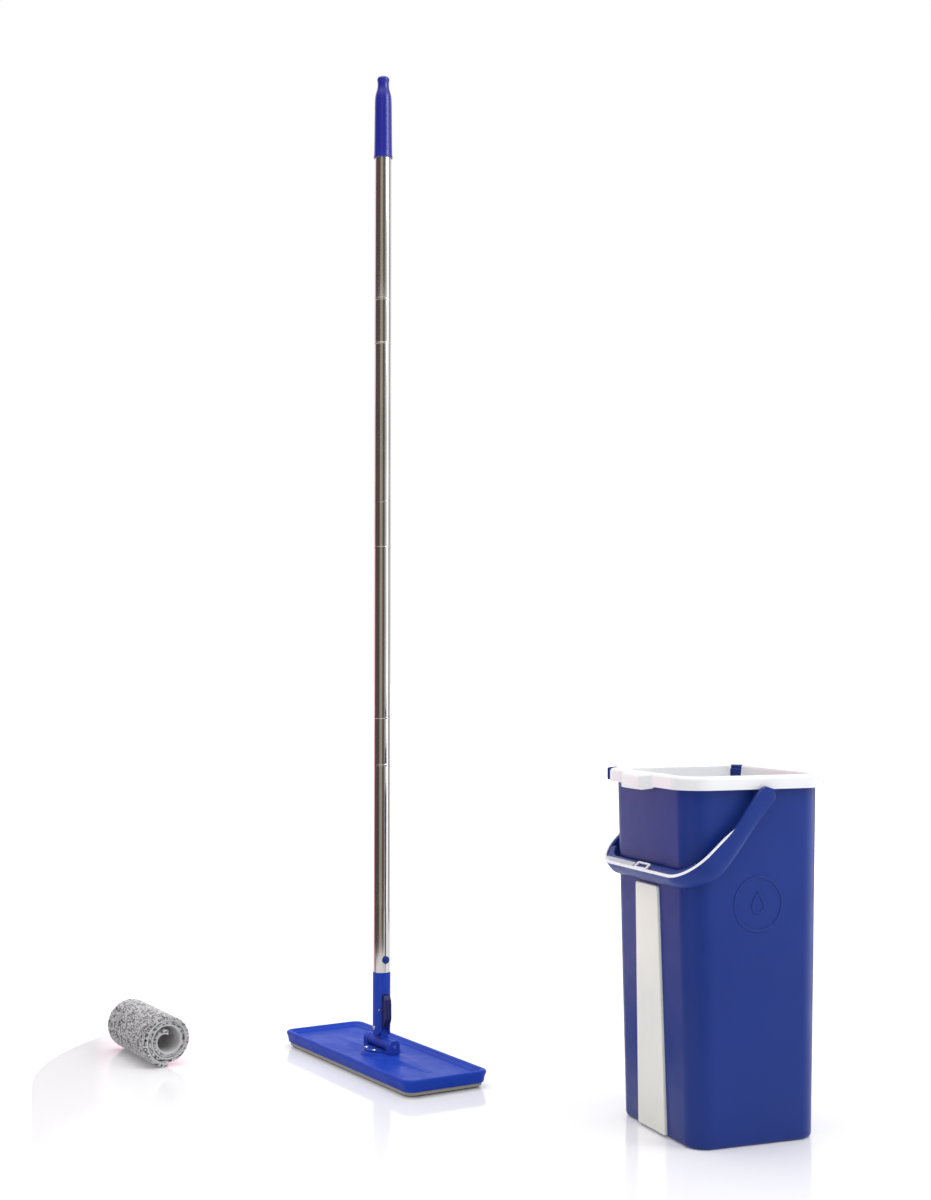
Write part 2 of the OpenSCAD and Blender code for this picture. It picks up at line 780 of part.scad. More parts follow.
bucket_body();
front_strip();
insert_top();
wash_shaft();
wring_shaft();
scrub_strips();
blade_holder();
squeeze_blade();
insert_screws();
handle_bail();
handle_trim();
head_plate();
hook_strips();
pad_backing();
pad_pile();
swivel_base();
swivel_screws();
base_pin();
swivel_yoke();
lower_sleeve();
yoke_pin();
tab_pin();
tab_spring();
button_spring();
tube_1();
tube_2();
tube_3();
tube_4();
coupling_1();
coupling_2();
coupling_3();
thread_plug_1();
thread_plug_2();
thread_plug_3();
grip();
lock_tab();
snap_button();
spare_pad_pile();
spare_pad_backing();
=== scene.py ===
"""Self-wash flat mop set: the looks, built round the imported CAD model.

Lengths are millimetres until a mesh is made.
"""

import math

import bmesh
import bpy
import numpy as np
from mathutils import Matrix, Vector


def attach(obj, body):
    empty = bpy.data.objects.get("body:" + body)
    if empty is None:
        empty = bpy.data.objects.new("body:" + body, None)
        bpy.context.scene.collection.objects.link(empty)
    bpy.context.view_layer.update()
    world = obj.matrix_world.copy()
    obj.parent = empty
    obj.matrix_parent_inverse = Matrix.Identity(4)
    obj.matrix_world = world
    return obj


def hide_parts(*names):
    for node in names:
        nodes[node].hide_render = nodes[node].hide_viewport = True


MM = 0.001
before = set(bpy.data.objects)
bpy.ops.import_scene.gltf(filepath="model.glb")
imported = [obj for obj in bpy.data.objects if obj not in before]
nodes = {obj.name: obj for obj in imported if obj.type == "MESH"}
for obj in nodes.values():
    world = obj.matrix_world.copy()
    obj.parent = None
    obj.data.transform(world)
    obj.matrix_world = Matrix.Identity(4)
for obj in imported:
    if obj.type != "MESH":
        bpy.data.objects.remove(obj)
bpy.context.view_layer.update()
cos, sin, rad, pi = math.cos, math.sin, math.radians, math.pi

# ---- camera ----

camera_data = bpy.data.cameras.new("camera")
camera_data.sensor_width = 36
camera_data.lens = 51
camera_data.clip_end = 100
camera = bpy.data.objects.new("camera", camera_data)
camera.location = (1.6286, -0.9253, 0.495)
camera.rotation_euler = (rad(92.2), 0, rad(68.7))
bpy.context.scene.collection.objects.link(camera)
bpy.context.scene.camera = camera

# ---- dimensions, in step with the CAD ----

BASE_W, BASE_D, TOP_W, TOP_D, RIM_Z = 172, 148, 182, 163, 367
WALL, WALL_TOP, BASE_R, TOP_R = 2.5, 376.8, 23, 27
RIM_W, RIM_D, RIM_R = 198, 180, 33
RIM_ROUND, RIM_FLAT, RIM_INNER_ROUND = 4, 11.4, 2.2  # outer rounding, flat top, inner rounding
RIM_SEAT = 377  # underside of the rim
CORNER_X, CORNER_Y = RIM_W / 2 - RIM_R, RIM_D / 2 - RIM_R  # centres of the rim's corners
LIP_CUT = (199.5, 241.5)  # angles between which the skirt is cut away for the bucket's lip
POUR_CORNER = (105.5, 147.5)  # angles of the corner that is left open
CREST_Z, CREST_R = 248, 26.8  # raised ring on the +X side: height of its middle, inner radius
DECK_Z, DECK_T = 350, 2.4
PIVOT = (0, 2, 360.5)
HANG, REACH, HALF_W, ARM_T, BAIL_R = 41, 128, 107, 6, 40
HEAD_L, HEAD_W = 330, 113
PAD_L, PAD_W = HEAD_L - 10, HEAD_W - 10
TUBES = [(115, 370), (431, 641), (701, 898), (956, 1170)]
COUPLINGS = [(370, 431), (641, 701), (898, 956)]
GRIP_Z = 1135
ROLL_R, ROLL_L, ROLL_CORE, ROLL_TURNS = 32.5, 131, 13, 2.25
ROLL_PITCH = (ROLL_R - ROLL_CORE) / (ROLL_TURNS + 1)
ROLL_GAP, LINING_T = 0.6, 1.3
PILE_T = ROLL_PITCH - ROLL_GAP - LINING_T
CURL = -0.26  # turns by which the strip's inner end curls into the hole

SIDEWAYS = Matrix(((0, 0, 1, 0), (1, 0, 0, 0), (0, 1, 0, 0), (0, 0, 0, 1)))  # lays Z along X
MOP = Matrix.Translation((-390, -250, 0)) @ Matrix.Rotation(rad(10), 4, "Z")
ROLL = (
    Matrix.Translation((-540, -510, ROLL_R))
    @ Matrix.Rotation(rad(10), 4, "Z")
    @ Matrix.Translation((-ROLL_L / 2, 0, 0))
    @ SIDEWAYS
)
BAIL = Matrix.Translation(PIVOT) @ Matrix.Rotation(rad(HANG), 4, "X")


def bucket_w(z):
    return BASE_W + (TOP_W - BASE_W) * z / RIM_Z


def bucket_d(z):
    return BASE_D + (TOP_D - BASE_D) * z / RIM_Z


def bucket_r(z):
    return BASE_R + (TOP_R - BASE_R) * z / RIM_Z


# ---- mesh helpers ----


def skin(sections, loop=False, caps=True):
    """Vertices and faces through closed sections of points. loop joins the last section to the first."""
    n, m = len(sections[0]), len(sections)
    verts = [tuple(p) for s in sections for p in s]
    faces = []
    for j in range(m if loop else m - 1):
        a, b = j * n, (j + 1) % m * n
        for i in range(n):
            k = (i + 1) % n
            faces.append((a + i, a + k, b + k, b + i))
    if caps and not loop:
        faces.append(tuple(range(n))[::-1])
        faces.append(tuple((m - 1) * n + i for i in range(n)))
    return verts, faces


def moved(shell, matrix):
    return [tuple(matrix @ Vector(v)) for v in shell[0]], shell[1]


def lathe(profile, n=64, matrix=None):
    """Turns (radius, height) points about Z. Points at radius 0 close the ends."""
    ends = (profile[0][0] < 1e-6, profile[-1][0] < 1e-6)
    inner = profile[1 if ends[0] else 0 : len(profile) - (1 if ends[1] else 0)]
    sections = [
        [(r * cos(2 * pi * i / n), r * sin(2 * pi * i / n), z) for i in range(n)]
        for r, z in inner
    ]
    verts, faces = skin(sections, loop=not any(ends), caps=False)
    for first, at in ((True, profile[0]), (False, profile[-1])):
        if ends[0 if first else 1]:
            tip = len(verts)
            verts.append((0, 0, at[1]))
            start = 0 if first else (len(inner) - 1) * n
            turn = -1 if first else 1
            faces += [(start + i, start + (i + 1) % n, tip)[::turn] for i in range(n)]
    return moved((verts, faces), matrix) if matrix else (verts, faces)


def ring(w, d, r, z, n=14):
    """A rounded rectangle of points, anticlockwise from +X."""
    out = []
    for sx, sy, a0 in ((1, 1, 0), (-1, 1, 90), (-1, -1, 180), (1, -1, 270)):
        for k in range(n + 1):
            a = rad(a0 + 90 * k / n)
            out.append((sx * (w / 2 - r) + r * cos(a), sy * (d / 2 - r) + r * sin(a), z))
    return out


def loft(levels, n=14):
    """A solid through rounded rectangles, each (width, depth, corner radius, height)."""
    return skin([ring(w, d, max(r, 0.3), z, n) for w, d, r, z in levels])


def inset_loft(w, d, levels, n=14):
    """A solid through rounded rectangles, each (inset from w and d, corner radius, height)."""
    return loft([(w - 2 * i, d - 2 * i, r, z) for i, r, z in levels], n)


def sweep(frames, section):
    """Runs an (outward, height) section along frames of (x, y, outward x, outward y)."""
    return skin([[(x + nx * o, y + ny * o, z) for o, z in section] for x, y, nx, ny in frames])


def rounded_poly(points, radii, n=8):
    """A closed 2-D outline whose corners, out or in, are rounded."""
    out = []
    m = len(points)
    for i, (p, r) in enumerate(zip(points, radii)):
        p = Vector(p)
        a, b = Vector(points[i - 1]) - p, Vector(points[(i + 1) % m]) - p
        a.normalize()
        b.normalize()
        half = a.angle(b) / 2
        if r < 1e-6:
            out.append(tuple(p))
            continue
        d = r / math.tan(half)
        middle = p + (a + b).normalized() * (r / sin(half))
        s, e = p + a * d - middle, p + b * d - middle
        turn = s.angle_signed(e)
        for k in range(n + 1):
            c, v = cos(-turn * k / n), sin(-turn * k / n)
            out.append((middle.x + s.x * c - s.y * v, middle.y + s.x * v + s.y * c))
    return out


def plate(outlines, z0, z1, bevel):
    """A flat plate between z0 and z1 with holes, its edges softened."""
    curve = bpy.data.curves.new("tmp", "CURVE")
    curve.dimensions = "2D"
    curve.fill_mode = "BOTH"
    curve.extrude = (z1 - z0) / 2 - bevel
    curve.bevel_depth = bevel
    curve.bevel_resolution = 2
    curve.offset = -bevel
    for outline in outlines:
        spline = curve.splines.new("POLY")
        spline.points.add(len(outline) - 1)
        for q, (x, y) in zip(spline.points, outline):
            q.co = (x, y, 0, 1)
        spline.use_cyclic_u = True
    o = bpy.data.objects.new("tmp", curve)
    bpy.context.scene.collection.objects.link(o)
    dg = bpy.context.evaluated_depsgraph_get()
    mesh = o.evaluated_get(dg).to_mesh()
    verts = [(v.co.x, v.co.y, v.co.z + (z0 + z1) / 2) for v in mesh.vertices]
    faces = [tuple(f.vertices) for f in mesh.polygons]
    o.evaluated_get(dg).to_mesh_clear()
    bpy.data.objects.remove(o)
    bpy.data.curves.remove(curve)
    return verts, faces


def piece(name, shells, finish, body, stands_for=(), angle=32, matrix=None, loop=None):
    """Joins shells of millimetre points into one smooth object that rides on a body.

    angle is where edges turn sharp, and loop is a value for each point that the pile's material reads: the
    yarn's tone with painted shade.
    """
    verts, faces = [], []
    for v, f in shells:
        base = len(verts)
        verts += v
        faces += [tuple(base + i for i in face) for face in f]
    if matrix:
        verts = [tuple(matrix @ Vector(v)) for v in verts]
    mesh = bpy.data.meshes.new(name)
    mesh.from_pydata([(x * MM, y * MM, z * MM) for x, y, z in verts], [], faces)
    if loop is not None:
        attribute = mesh.attributes.new("loop", "FLOAT", "POINT")
        attribute.data.foreach_set("value", np.asarray(loop, np.float32))
    bm = bmesh.new()
    bm.from_mesh(mesh)
    bmesh.ops.remove_doubles(bm, verts=bm.verts, dist=2e-7)
    bmesh.ops.recalc_face_normals(bm, faces=bm.faces)
    bm.to_mesh(mesh)
    bm.free()
    mesh.shade_smooth()
    mesh.set_sharp_from_angle(angle=rad(angle))
    mesh.materials.append(finish)
    o = bpy.data.objects.new(name, mesh)
    bpy.context.scene.collection.objects.link(o)
    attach(o, body)
    if stands_for:
        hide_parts(*stands_for)
    return o


def interp(x, table):
    return float(np.interp(x, [a for a, _ in table], [b for _, b in table]))


def rand(c, seed):
    """Repeatable numbers from 0 to 1 for whole-number cells."""
    h = c[:, 0] * 374761393 + c[:, 1] * 668265263 + c[:, 2] * 1274126177 + seed * 974711
    h = h & 0xFFFFFFFF
    h = ((h ^ (h >> 13)) * 1103515245) & 0xFFFFFFFF
    h = ((h ^ (h >> 16)) * 2246822519) & 0xFFFFFFFF
    return ((h ^ (h >> 15)) & 0xFFFFFF) / 0xFFFFFF


def loops(p, seed):
    """Closeness to the nearest loop's middle, 0 to 1, and that loop's number, for points in cell units."""
    base = np.floor(p).astype(np.int64)
    best = np.full(len(p), 9.0)
    tone = np.zeros(len(p))
    for dx in (-1, 0, 1):
        for dy in (-1, 0, 1):
            c = np.column_stack([base + (dx, dy), np.full(len(p), seed)])
            middle = c[:, :2] + 0.5 + 0.42 * (np.stack([rand(c, 1), rand(c, 2)], 1) * 2 - 1)
            d = np.hypot(p[:, 0] - middle[:, 0], p[:, 1] - middle[:, 1])
            near = d < best
            best[near] = d[near]
            tone[near] = rand(c, 3)[near]
    return np.clip(1 - best / 0.85, 0, 1), tone


# ---- materials ----


def material(name):
    m = bpy.data.materials.new(name)
    m.use_nodes = True
    return m, m.node_tree.nodes, m.node_tree.links, m.node_tree.nodes["Principled BSDF"]


def node(tree, kind, **values):
    n = tree.new(kind)
    for k, v in values.items():
        if k in n.inputs:
            n.inputs[k].default_value = v
        else:
            setattr(n, k, v)
    return n


def ramp_of(tree, stops):
    n = tree.new("ShaderNodeValToRGB")
    elements = n.color_ramp.elements
    while len(elements) < len(stops):
        elements.new(0.5)
    for e, (at, colour) in zip(elements, stops):
        e.position = at
        e.color = (*colour, 1)
    return n


def remap(tree, low, high, start=0.0, end=1.0, **values):
    n = node(tree, "ShaderNodeMapRange", **values)
    for key, value in (("From Min", start), ("From Max", end), ("To Min", low), ("To Max", high)):
        n.inputs[key].default_value = value
    return n


def add_bump(t, link, p, height, strength, distance):
    bump = node(t, "ShaderNodeBump", Strength=strength, Distance=distance)
    link.new(height, bump.inputs["Height"])
    link.new(bump.outputs["Normal"], p.inputs["Normal"])


def shade(colour, k):
    return tuple(min(1, c * k) for c in colour)


def plastic(name, colour, rough, grain=0.03, vary=0.06, wear=0.1, coat=0.0, specular=0.5):
    """Moulded plastic: fine grain, faint flow and scuff marks, and edges a little paler from handling."""
    m, t, link, p = material(name)
    where = t.new("ShaderNodeTexCoord")
    big = node(t, "ShaderNodeTexNoise", Scale=9.0, Detail=4.0, Roughness=0.55)
    link.new(where.outputs["Object"], big.inputs["Vector"])
    tone = ramp_of(t, [(0.3, shade(colour, 1 - vary)), (0.7, shade(colour, 1 + vary))])
    link.new(big.outputs["Fac"], tone.inputs["Fac"])
    geometry = t.new("ShaderNodeNewGeometry")
    edge = ramp_of(t, [(0.52, (0, 0, 0)), (0.66, (wear, wear, wear))])
    link.new(geometry.outputs["Pointiness"], edge.inputs["Fac"])
    mix = node(t, "ShaderNodeMix", data_type="RGBA")
    mix.inputs["B"].default_value = (*[c * 0.55 + 0.45 * min(1, c + 0.4) for c in colour], 1)
    link.new(edge.outputs["Color"], mix.inputs["Factor"])
    link.new(tone.outputs["Color"], mix.inputs["A"])
    link.new(mix.outputs["Result"], p.inputs["Base Color"])
    scuff = node(t, "ShaderNodeTexNoise", Scale=38.0, Detail=4.0, Roughness=0.55)
    link.new(where.outputs["Object"], scuff.inputs["Vector"])
    gloss = remap(t, rough * 0.82, rough * 1.25, 0.3, 0.7)
    link.new(scuff.outputs["Fac"], gloss.inputs["Value"])
    link.new(gloss.outputs["Result"], p.inputs["Roughness"])
    fine = node(t, "ShaderNodeTexNoise", Scale=620.0, Detail=3.0)
    link.new(where.outputs["Object"], fine.inputs["Vector"])
    add_bump(t, link, p, fine.outputs["Fac"], grain, 0.0004)
    p.inputs["Specular IOR Level"].default_value = specular
    p.inputs["Coat Weight"].default_value = coat
    p.inputs["Coat Roughness"].default_value = 0.12
    return m


def metal(name, colour, rough, brush):
    """Polished steel with fine drawn lines along Z."""
    m, t, link, p = material(name)
    where = t.new("ShaderNodeTexCoord")
    stretch = node(t, "ShaderNodeMapping")
    stretch.inputs["Scale"].default_value = brush
    link.new(where.outputs["Object"], stretch.inputs["Vector"])
    lines = node(t, "ShaderNodeTexNoise", Scale=1.0, Detail=5.0, Roughness=0.6)
    link.new(stretch.outputs["Vector"], lines.inputs["Vector"])
    gloss = remap(t, rough * 0.7, rough * 1.6)
    link.new(lines.outputs["Fac"], gloss.inputs["Value"])
    link.new(gloss.outputs["Result"], p.inputs["Roughness"])
    cloud = node(t, "ShaderNodeTexNoise", Scale=14.0, Detail=4.0)
    link.new(where.outputs["Object"], cloud.inputs["Vector"])
    tone = ramp_of(t, [(0.3, shade(colour, 0.9)), (0.7, shade(colour, 1.06))])
    link.new(cloud.outputs["Fac"], tone.inputs["Fac"])
    link.new(tone.outputs["Color"], p.inputs["Base Color"])
    add_bump(t, link, p, lines.outputs["Fac"], 0.06, 0.0002)
    p.inputs["Metallic"].default_value = 1.0
    return m


def cloth(name, stops, weave, attribute=None, strength=0.5):
    """Fabric: a tone from the pile's own height, which paints shade between the loops, or from noise, with
    thread-sized bump and a soft sheen.
    """
    m, t, link, p = material(name)
    where = t.new("ShaderNodeTexCoord")
    speck = node(t, "ShaderNodeTexNoise", Scale=weave, Detail=4.0, Roughness=0.75)
    link.new(where.outputs["Object"], speck.inputs["Vector"])
    tone = ramp_of(t, stops)
    if attribute:
        height = node(t, "ShaderNodeAttribute", attribute_name=attribute)
        add = node(t, "ShaderNodeMath", operation="MULTIPLY_ADD")
        add.inputs[1].default_value = 0.5
        link.new(speck.outputs["Fac"], add.inputs[0])
        link.new(height.outputs["Fac"], add.inputs[2])
        less = node(t, "ShaderNodeMath", operation="SUBTRACT")
        less.inputs[1].default_value = 0.25
        link.new(add.outputs["Value"], less.inputs[0])
        link.new(less.outputs["Value"], tone.inputs["Fac"])
    else:
        link.new(speck.outputs["Fac"], tone.inputs["Fac"])
    link.new(tone.outputs["Color"], p.inputs["Base Color"])
    add_bump(t, link, p, speck.outputs["Fac"], strength, 0.0006)
    p.inputs["Roughness"].default_value = 0.92
    p.inputs["Specular IOR Level"].default_value = 0.2
    p.inputs["Sheen Weight"].default_value = 0.25
    p.inputs["Sheen Roughness"].default_value = 0.5
    return m


BLUE = (0.008, 0.030, 0.205)
HEAD_BLUE = (0.012, 0.052, 0.42)
GRIP_BLUE = (0.010, 0.014, 0.216)
NAVY = (0.006, 0.008, 0.10)
blue = plastic("blue_moulded", BLUE, rough=0.34, specular=0.22)
head_blue = plastic("head_blue_moulded", HEAD_BLUE, rough=0.38, specular=0.06)
grip_blue = plastic("grip_blue_moulded", GRIP_BLUE, rough=0.24, grain=0.04)
navy = plastic("navy_moulded", NAVY, rough=0.36, specular=0.2)
ivory = plastic("ivory_moulded", (0.82, 0.83, 0.76), rough=0.36, vary=0.03, wear=0.2)
white = plastic("white_gloss", (0.75, 0.76, 0.78), rough=0.2, grain=0.015, vary=0.02, wear=0.3, coat=0.3)
white_edge_plastic = plastic("white_edge_strip", (0.80, 0.81, 0.85), rough=0.25, grain=0.03, vary=0.02, wear=0.3)
inner_white = plastic("insert_moulded", (0.74, 0.76, 0.80), rough=0.38, vary=0.04, wear=0.2)
rubber = plastic("soft_rubber", (0.18, 0.18, 0.19), rough=0.6, grain=0.08, vary=0.1)
tube_steel = metal("drawn_tube", (0.62, 0.60, 0.57), 0.13, (1500, 1500, 14))
bolt_steel = metal("bolt_steel", (0.55, 0.55, 0.56), 0.25, (900, 900, 900))
hooks = cloth(
    "hook_tape", [(0.35, (0.01, 0.012, 0.03)), (0.65, (0.05, 0.055, 0.09))], weave=2200.0, strength=0.9
)
# The ramp's near-black low end paints the shade between the loops.
pile = cloth(
    "pile_loops",
    [
        (0.14, (0.004, 0.004, 0.004)),
        (0.34, (0.035, 0.035, 0.036)),
        (0.5, (0.38, 0.38, 0.385)),
        (0.82, (0.86, 0.86, 0.87)),
    ],
    weave=1500.0,
    attribute="loop",
)
lining = cloth("pad_lining", [(0.3, (0.5, 0.5, 0.5)), (0.7, (0.8, 0.8, 0.8))], weave=1300.0)
stitch = cloth("edge_stitch", [(0.3, (0.3, 0.3, 0.3)), (0.7, (0.72, 0.72, 0.72))], weave=2000.0)
pad_edge = cloth("pad_binding", [(0.3, (0.27, 0.255, 0.21)), (0.7, (0.46, 0.44, 0.37))], weave=1500.0)

# ---- bucket ----


def bucket_level(z, inset):
    return bucket_w(z) - 2 * inset, bucket_d(z) - 2 * inset, bucket_r(z) - inset, z


def corner_sweep(sy, a0, a1, profile):
    """Runs a (radius, height) profile round a corner of the -X side, from angle a0 to a1."""
    n = 14
    angles = [rad(a0 + (a1 - a0) * k / n) for k in range(n + 1)]
    return sweep([(-CORNER_X, sy * CORNER_Y, cos(a), sin(a)) for a in angles], profile)


def bucket_shells():
    foot = (BASE_W - 26, BASE_D - 26, BASE_R - 10)
    levels = [(*foot, 2.5), (*foot, 0.4), (BASE_W - 24.6, BASE_D - 24.6, BASE_R - 9.4, 0)]
    levels += [
        bucket_level(z, i)
        for z, i in ((0, 4.4), (0.12, 3.7), (0.6, 2.6), (1.4, 1.6), (2.4, 0.75), (3.4, 0.25), (4.6, 0))
    ]
    levels += [bucket_level(z, 0) for z in (40, 100, 170, 240, 300, 340, 362, 367.4)]
    for z, out in (
        (367.8, 0.3), (368, 1.2), (368.1, 3.9), (368.6, 4.4), (370.4, 4.5), (370.9, 4.1), (371, 1.2),
        (371.3, 0.2),
    ):
        levels.append((TOP_W + 2 * out, TOP_D + 2 * out, TOP_R + out, z))
    levels += [
        bucket_level(z, i)
        for z, i in ((376, 0), (376.7, 0.5), (WALL_TOP, 1.2), (376.6, 2.1), (376, WALL))
    ]
    levels += [bucket_level(z, WALL) for z in (330, 200, 80, 13)]
    levels += [bucket_level(z, i) for z, i in ((9, 3.2), (6.6, 5.2), (5.3, 8.2), (5, 12))]
    shells = [loft(levels)]
    shells.append(lathe([(0, 2.6), (14, 2.6), (14, 0.5), (13.5, 0), (0, 0)], 40))
    for s in (-1, 1):
        turn = Matrix.Translation((0, PIVOT[1], PIVOT[2])) @ Matrix.Rotation(s * pi / 2, 4, "Y")
        shells.append(
            lathe(
                [(9.6, 88.2), (9.0, 90.4), (9, 95.6), (8.4, 96.2), (5.6, 96.2), (5.1, 95.7), (5.1, 88.2)],
                48, turn,
            )
        )
    # lips that stand up at the two corners of the -X side
    shells.append(
        corner_sweep(
            -1,
            201,
            240,
            [
                (26.5, 368), (34.6, 368), (35.5, 368.6), (35.8, 370), (35.8, 379.9), (35.5, 380.9),
                (34.8, 381.4), (34.1, 381.4), (33.6, 380.9), (33.5, 377.6), (33, 376.8), (26.5, 376.8),
            ],
        )
    )
    shells.append(
        corner_sweep(
            1,
            107,
            146,
            [
                (24.3, 362), (26.6, 362), (31, 365), (35.4, 368), (36, 369.4), (36, 379.6), (35.6, 380.6),
                (34.6, 381), (25.4, 380.8), (24.6, 380.2),
            ],
        )
    )
    # raised ring and drop on the +X side
    tilt = math.atan((TOP_W - BASE_W) / 2 / RIM_Z)
    place = (
        Matrix.Translation((bucket_w(CREST_Z) / 2 - 0.05, 0, CREST_Z))
        @ Matrix.Rotation(tilt, 4, "Y")
        @ SIDEWAYS
    )
    bead = [(-0.35, 0), (-0.15, 0.45), (0.35, 0.9), (1.85, 0.9), (2.35, 0.45), (2.55, 0)]
    bead += [(2.55, -0.6), (-0.35, -0.6)]
    shells.append(lathe([(CREST_R + r, h) for r, h in bead], 96, place))
    count = 72
    drop = []
    for k in range(count):
        a = 2 * pi * k / count
        r = 1 - sin(a)
        drop.append((8.2 * cos(a) * (r / 2) ** 0.62 * 1.16, 10.5 * sin(a) + 1.5))
    normals = []
    for k in range(count):
        d = Vector(drop[(k + 1) % count]) - Vector(drop[k - 1])
        normals.append(Vector((d.y, -d.x)).normalized() if d.length > 1e-6 else Vector((0, 1)))
    shells.append(
        moved(
            skin(
                [
                    [(x + n.x * (r - 1.1), y + n.y * (r - 1.1), h) for (x, y), n in zip(drop, normals)]
                    for r, h in bead
                ],
                loop=True,
            ),
            place,
        )
    )
    return shells


piece("bucket_shell", bucket_shells(), blue, "bucket", ("bucket_body",), angle=28)


def stripe_shell():
    slope = math.atan((TOP_D - BASE_D) / 2 / RIM_Z)
    place = Matrix.Translation((-3, -BASE_D / 2, 0)) @ Matrix.Rotation(pi / 2 + slope, 4, "X")
    sections = []
    for inset, h in ((0, -0.3), (0, 2.0), (0.12, 2.5), (0.45, 2.95), (0.95, 3.28), (1.5, 3.4)):
        corners = [
            (-30.5 + inset, 3 + inset * 0.4), (30.5 - inset, 3 + inset * 0.4),
            (24.5 - inset, 262.5 - inset), (-24.5 + inset, 262.5 - inset),
        ]
        sections.append([(x, y, h) for x, y in rounded_poly(corners, [1.2, 1.2, 3, 3], 6)])
    return moved(skin(sections), place)


piece("bucket_stripe", [stripe_shell()], ivory, "bucket", ("front_strip",), angle=40)

# ---- insert ----


def rim_profile():
    out = [(-0.5, 367), (-0.12, 367.12), (0, 367.6), (0, 372), (0, RIM_SEAT)]
    out += [
        (RIM_ROUND * (cos(rad(a)) - 1), RIM_SEAT + RIM_ROUND * sin(rad(a)))
        for a in (15, 30, 45, 60, 75, 90)
    ]
    out += [(-7.5, 381.05), (-RIM_FLAT, 381)]
    r = RIM_INNER_ROUND
    out += [(-RIM_FLAT - r * sin(rad(a)), 381 - r + r * cos(rad(a))) for a in (25, 50, 75)]
    out += [(-13.7, 378), (-15.4, 364), (-17, 350.2), (-16.6, 350), (-14.8, 350), (-12.2, RIM_SEAT)]
    out += [(-2.2, RIM_SEAT), (-2.2, 367.4), (-1.8, 367)]
    return out


def notched(profile):
    """The rim's section where the skirt is cut away for the corner lip."""
    face = -2.3
    return [(-8, RIM_SEAT) if z < RIM_SEAT - 0.1 and o > face else (min(o, face), z) for o, z in profile]


def rim_frames():
    """(outer face point, outward normal, cut away) from one side of the open corner round to the other."""
    out = []

    def arc(sx, sy, a0, a1, n, cut=False):
        for k in range(n + 1):
            a = rad(a0 + (a1 - a0) * k / n)
            x, y = sx * CORNER_X + RIM_R * cos(a), sy * CORNER_Y + RIM_R * sin(a)
            out.append((x, y, cos(a), sin(a), cut))

    arc(-1, 1, POUR_CORNER[1], 180, 8)
    arc(-1, -1, 180, LIP_CUT[0], 6)
    arc(-1, -1, *LIP_CUT, 12, True)
    arc(-1, -1, LIP_CUT[1], 270, 8)
    arc(1, -1, 270, 360, 24)
    arc(1, 1, 0, 90, 24)
    arc(-1, 1, 90, POUR_CORNER[0], 5)
    return out


def rim_shell():
    full = rim_profile()
    part = notched(full)
    return skin(
        [
            [(x + nx * o, y + ny * o, z) for o, z in (part if cut else full)]
            for x, y, nx, ny, cut in rim_frames()
        ]
    )


def tab_shell():
    """Finger tab at the middle of the front, with a short left flank and a long right one."""
    sections = []
    wall, reach, top = 89.3, 8.6, 379.7
    table = [
        (-36.5, -89.3), (-35.6, -92), (-33.8, -94.8), (-31.5, -97), (-28.5, -97.9), (10.5, -97.9),
        (13, -97.6), (19, -94.2), (24.5, -91), (26.5, -89.3),
    ]
    for x, front in table:
        lift = (abs(front) - wall) / reach
        low = 363.1 + 2.4 * (1 - lift)
        sections.append(
            [
                (x, -87.5, low + 0.5),
                (x, front + 2.0 * lift + 0.3, low),
                (x, front + 0.7, low + 0.5),
                (x, front + 0.1, low + 1.7),
                (x, front, low + 4),
                (x, front, 374.6),
                (x, front + 0.35 * lift, 376.6),
                (x, front + 1.4 * lift, 378.3),
                (x, front + 3.2 * lift, 379.3),
                (x, front + 5.2 * lift, top),
                (x, -87.2, top + 0.5),
            ]
        )
    return skin(sections)


def slot_outlines(g):
    """The wash slot, and the wring slot with its notch for the pole, grown by g."""
    wash = [(-65 - g, 2.5 - g), (65 + g, 2.5 - g), (65 + g, 57.5 + g), (-65 - g, 57.5 + g)]
    wring = [
        (-21 - g, -57.5 - g), (21 + g, -57.5 - g), (21 + g, -29.5 - g), (65 + g, -29.5 - g),
        (65 + g, -2.5 + g), (-65 - g, -2.5 + g), (-65 - g, -29.5 - g), (-21 - g, -29.5 - g),
    ]
    return (
        rounded_poly(wash, [5 + g] * 4),
        rounded_poly(wring, [4 + g, 4 + g, 3 - min(g, 2.5), 4 + g, 4 + g, 4 + g, 4 + g, 3 - min(g, 2.5)]),
    )


def deck_shells():
    inset, open_r = 14.8, 9
    outer = ring(RIM_W - 2 * inset, RIM_D - 2 * inset, RIM_R - inset, 0)
    # the open corner cuts the deck's corner off
    edge = []
    for x, y, _ in outer:
        dx, dy = x + CORNER_X, y - CORNER_Y
        a = math.degrees(math.atan2(dy, dx)) % 360
        if POUR_CORNER[0] < a < POUR_CORNER[1] and math.hypot(dx, dy) > open_r:
            k = open_r / math.hypot(dx, dy)
            x, y = dx * k - CORNER_X, dy * k + CORNER_Y
        edge.append((x, y))
    shells = [plate([edge, *slot_outlines(0)], DECK_Z, DECK_Z + DECK_T, 0.3)]
    for inner, outer in zip(slot_outlines(0.05), slot_outlines(2)):
        shells.append(plate([outer, inner], DECK_Z + 0.2, DECK_Z + DECK_T + 3, 0.6))
    # round-headed bosses over the screw ends
    boss = [(4.2, 352.2), (4.0, 353.1), (3.2, 353.6), (0, 353.7)]
    for x in (-71.5, 71.5):
        for y in (-46, -14, 14, 46):
            shells.append(lathe(boss, 24, Matrix.Translation((x, y, 0))))
    return shells


piece("insert_rim", [rim_shell(), tab_shell()], white, "insert", ("insert_top",), angle=38)
piece("insert_deck", deck_shells(), white, "insert", (), angle=38)

# ---- handle ----

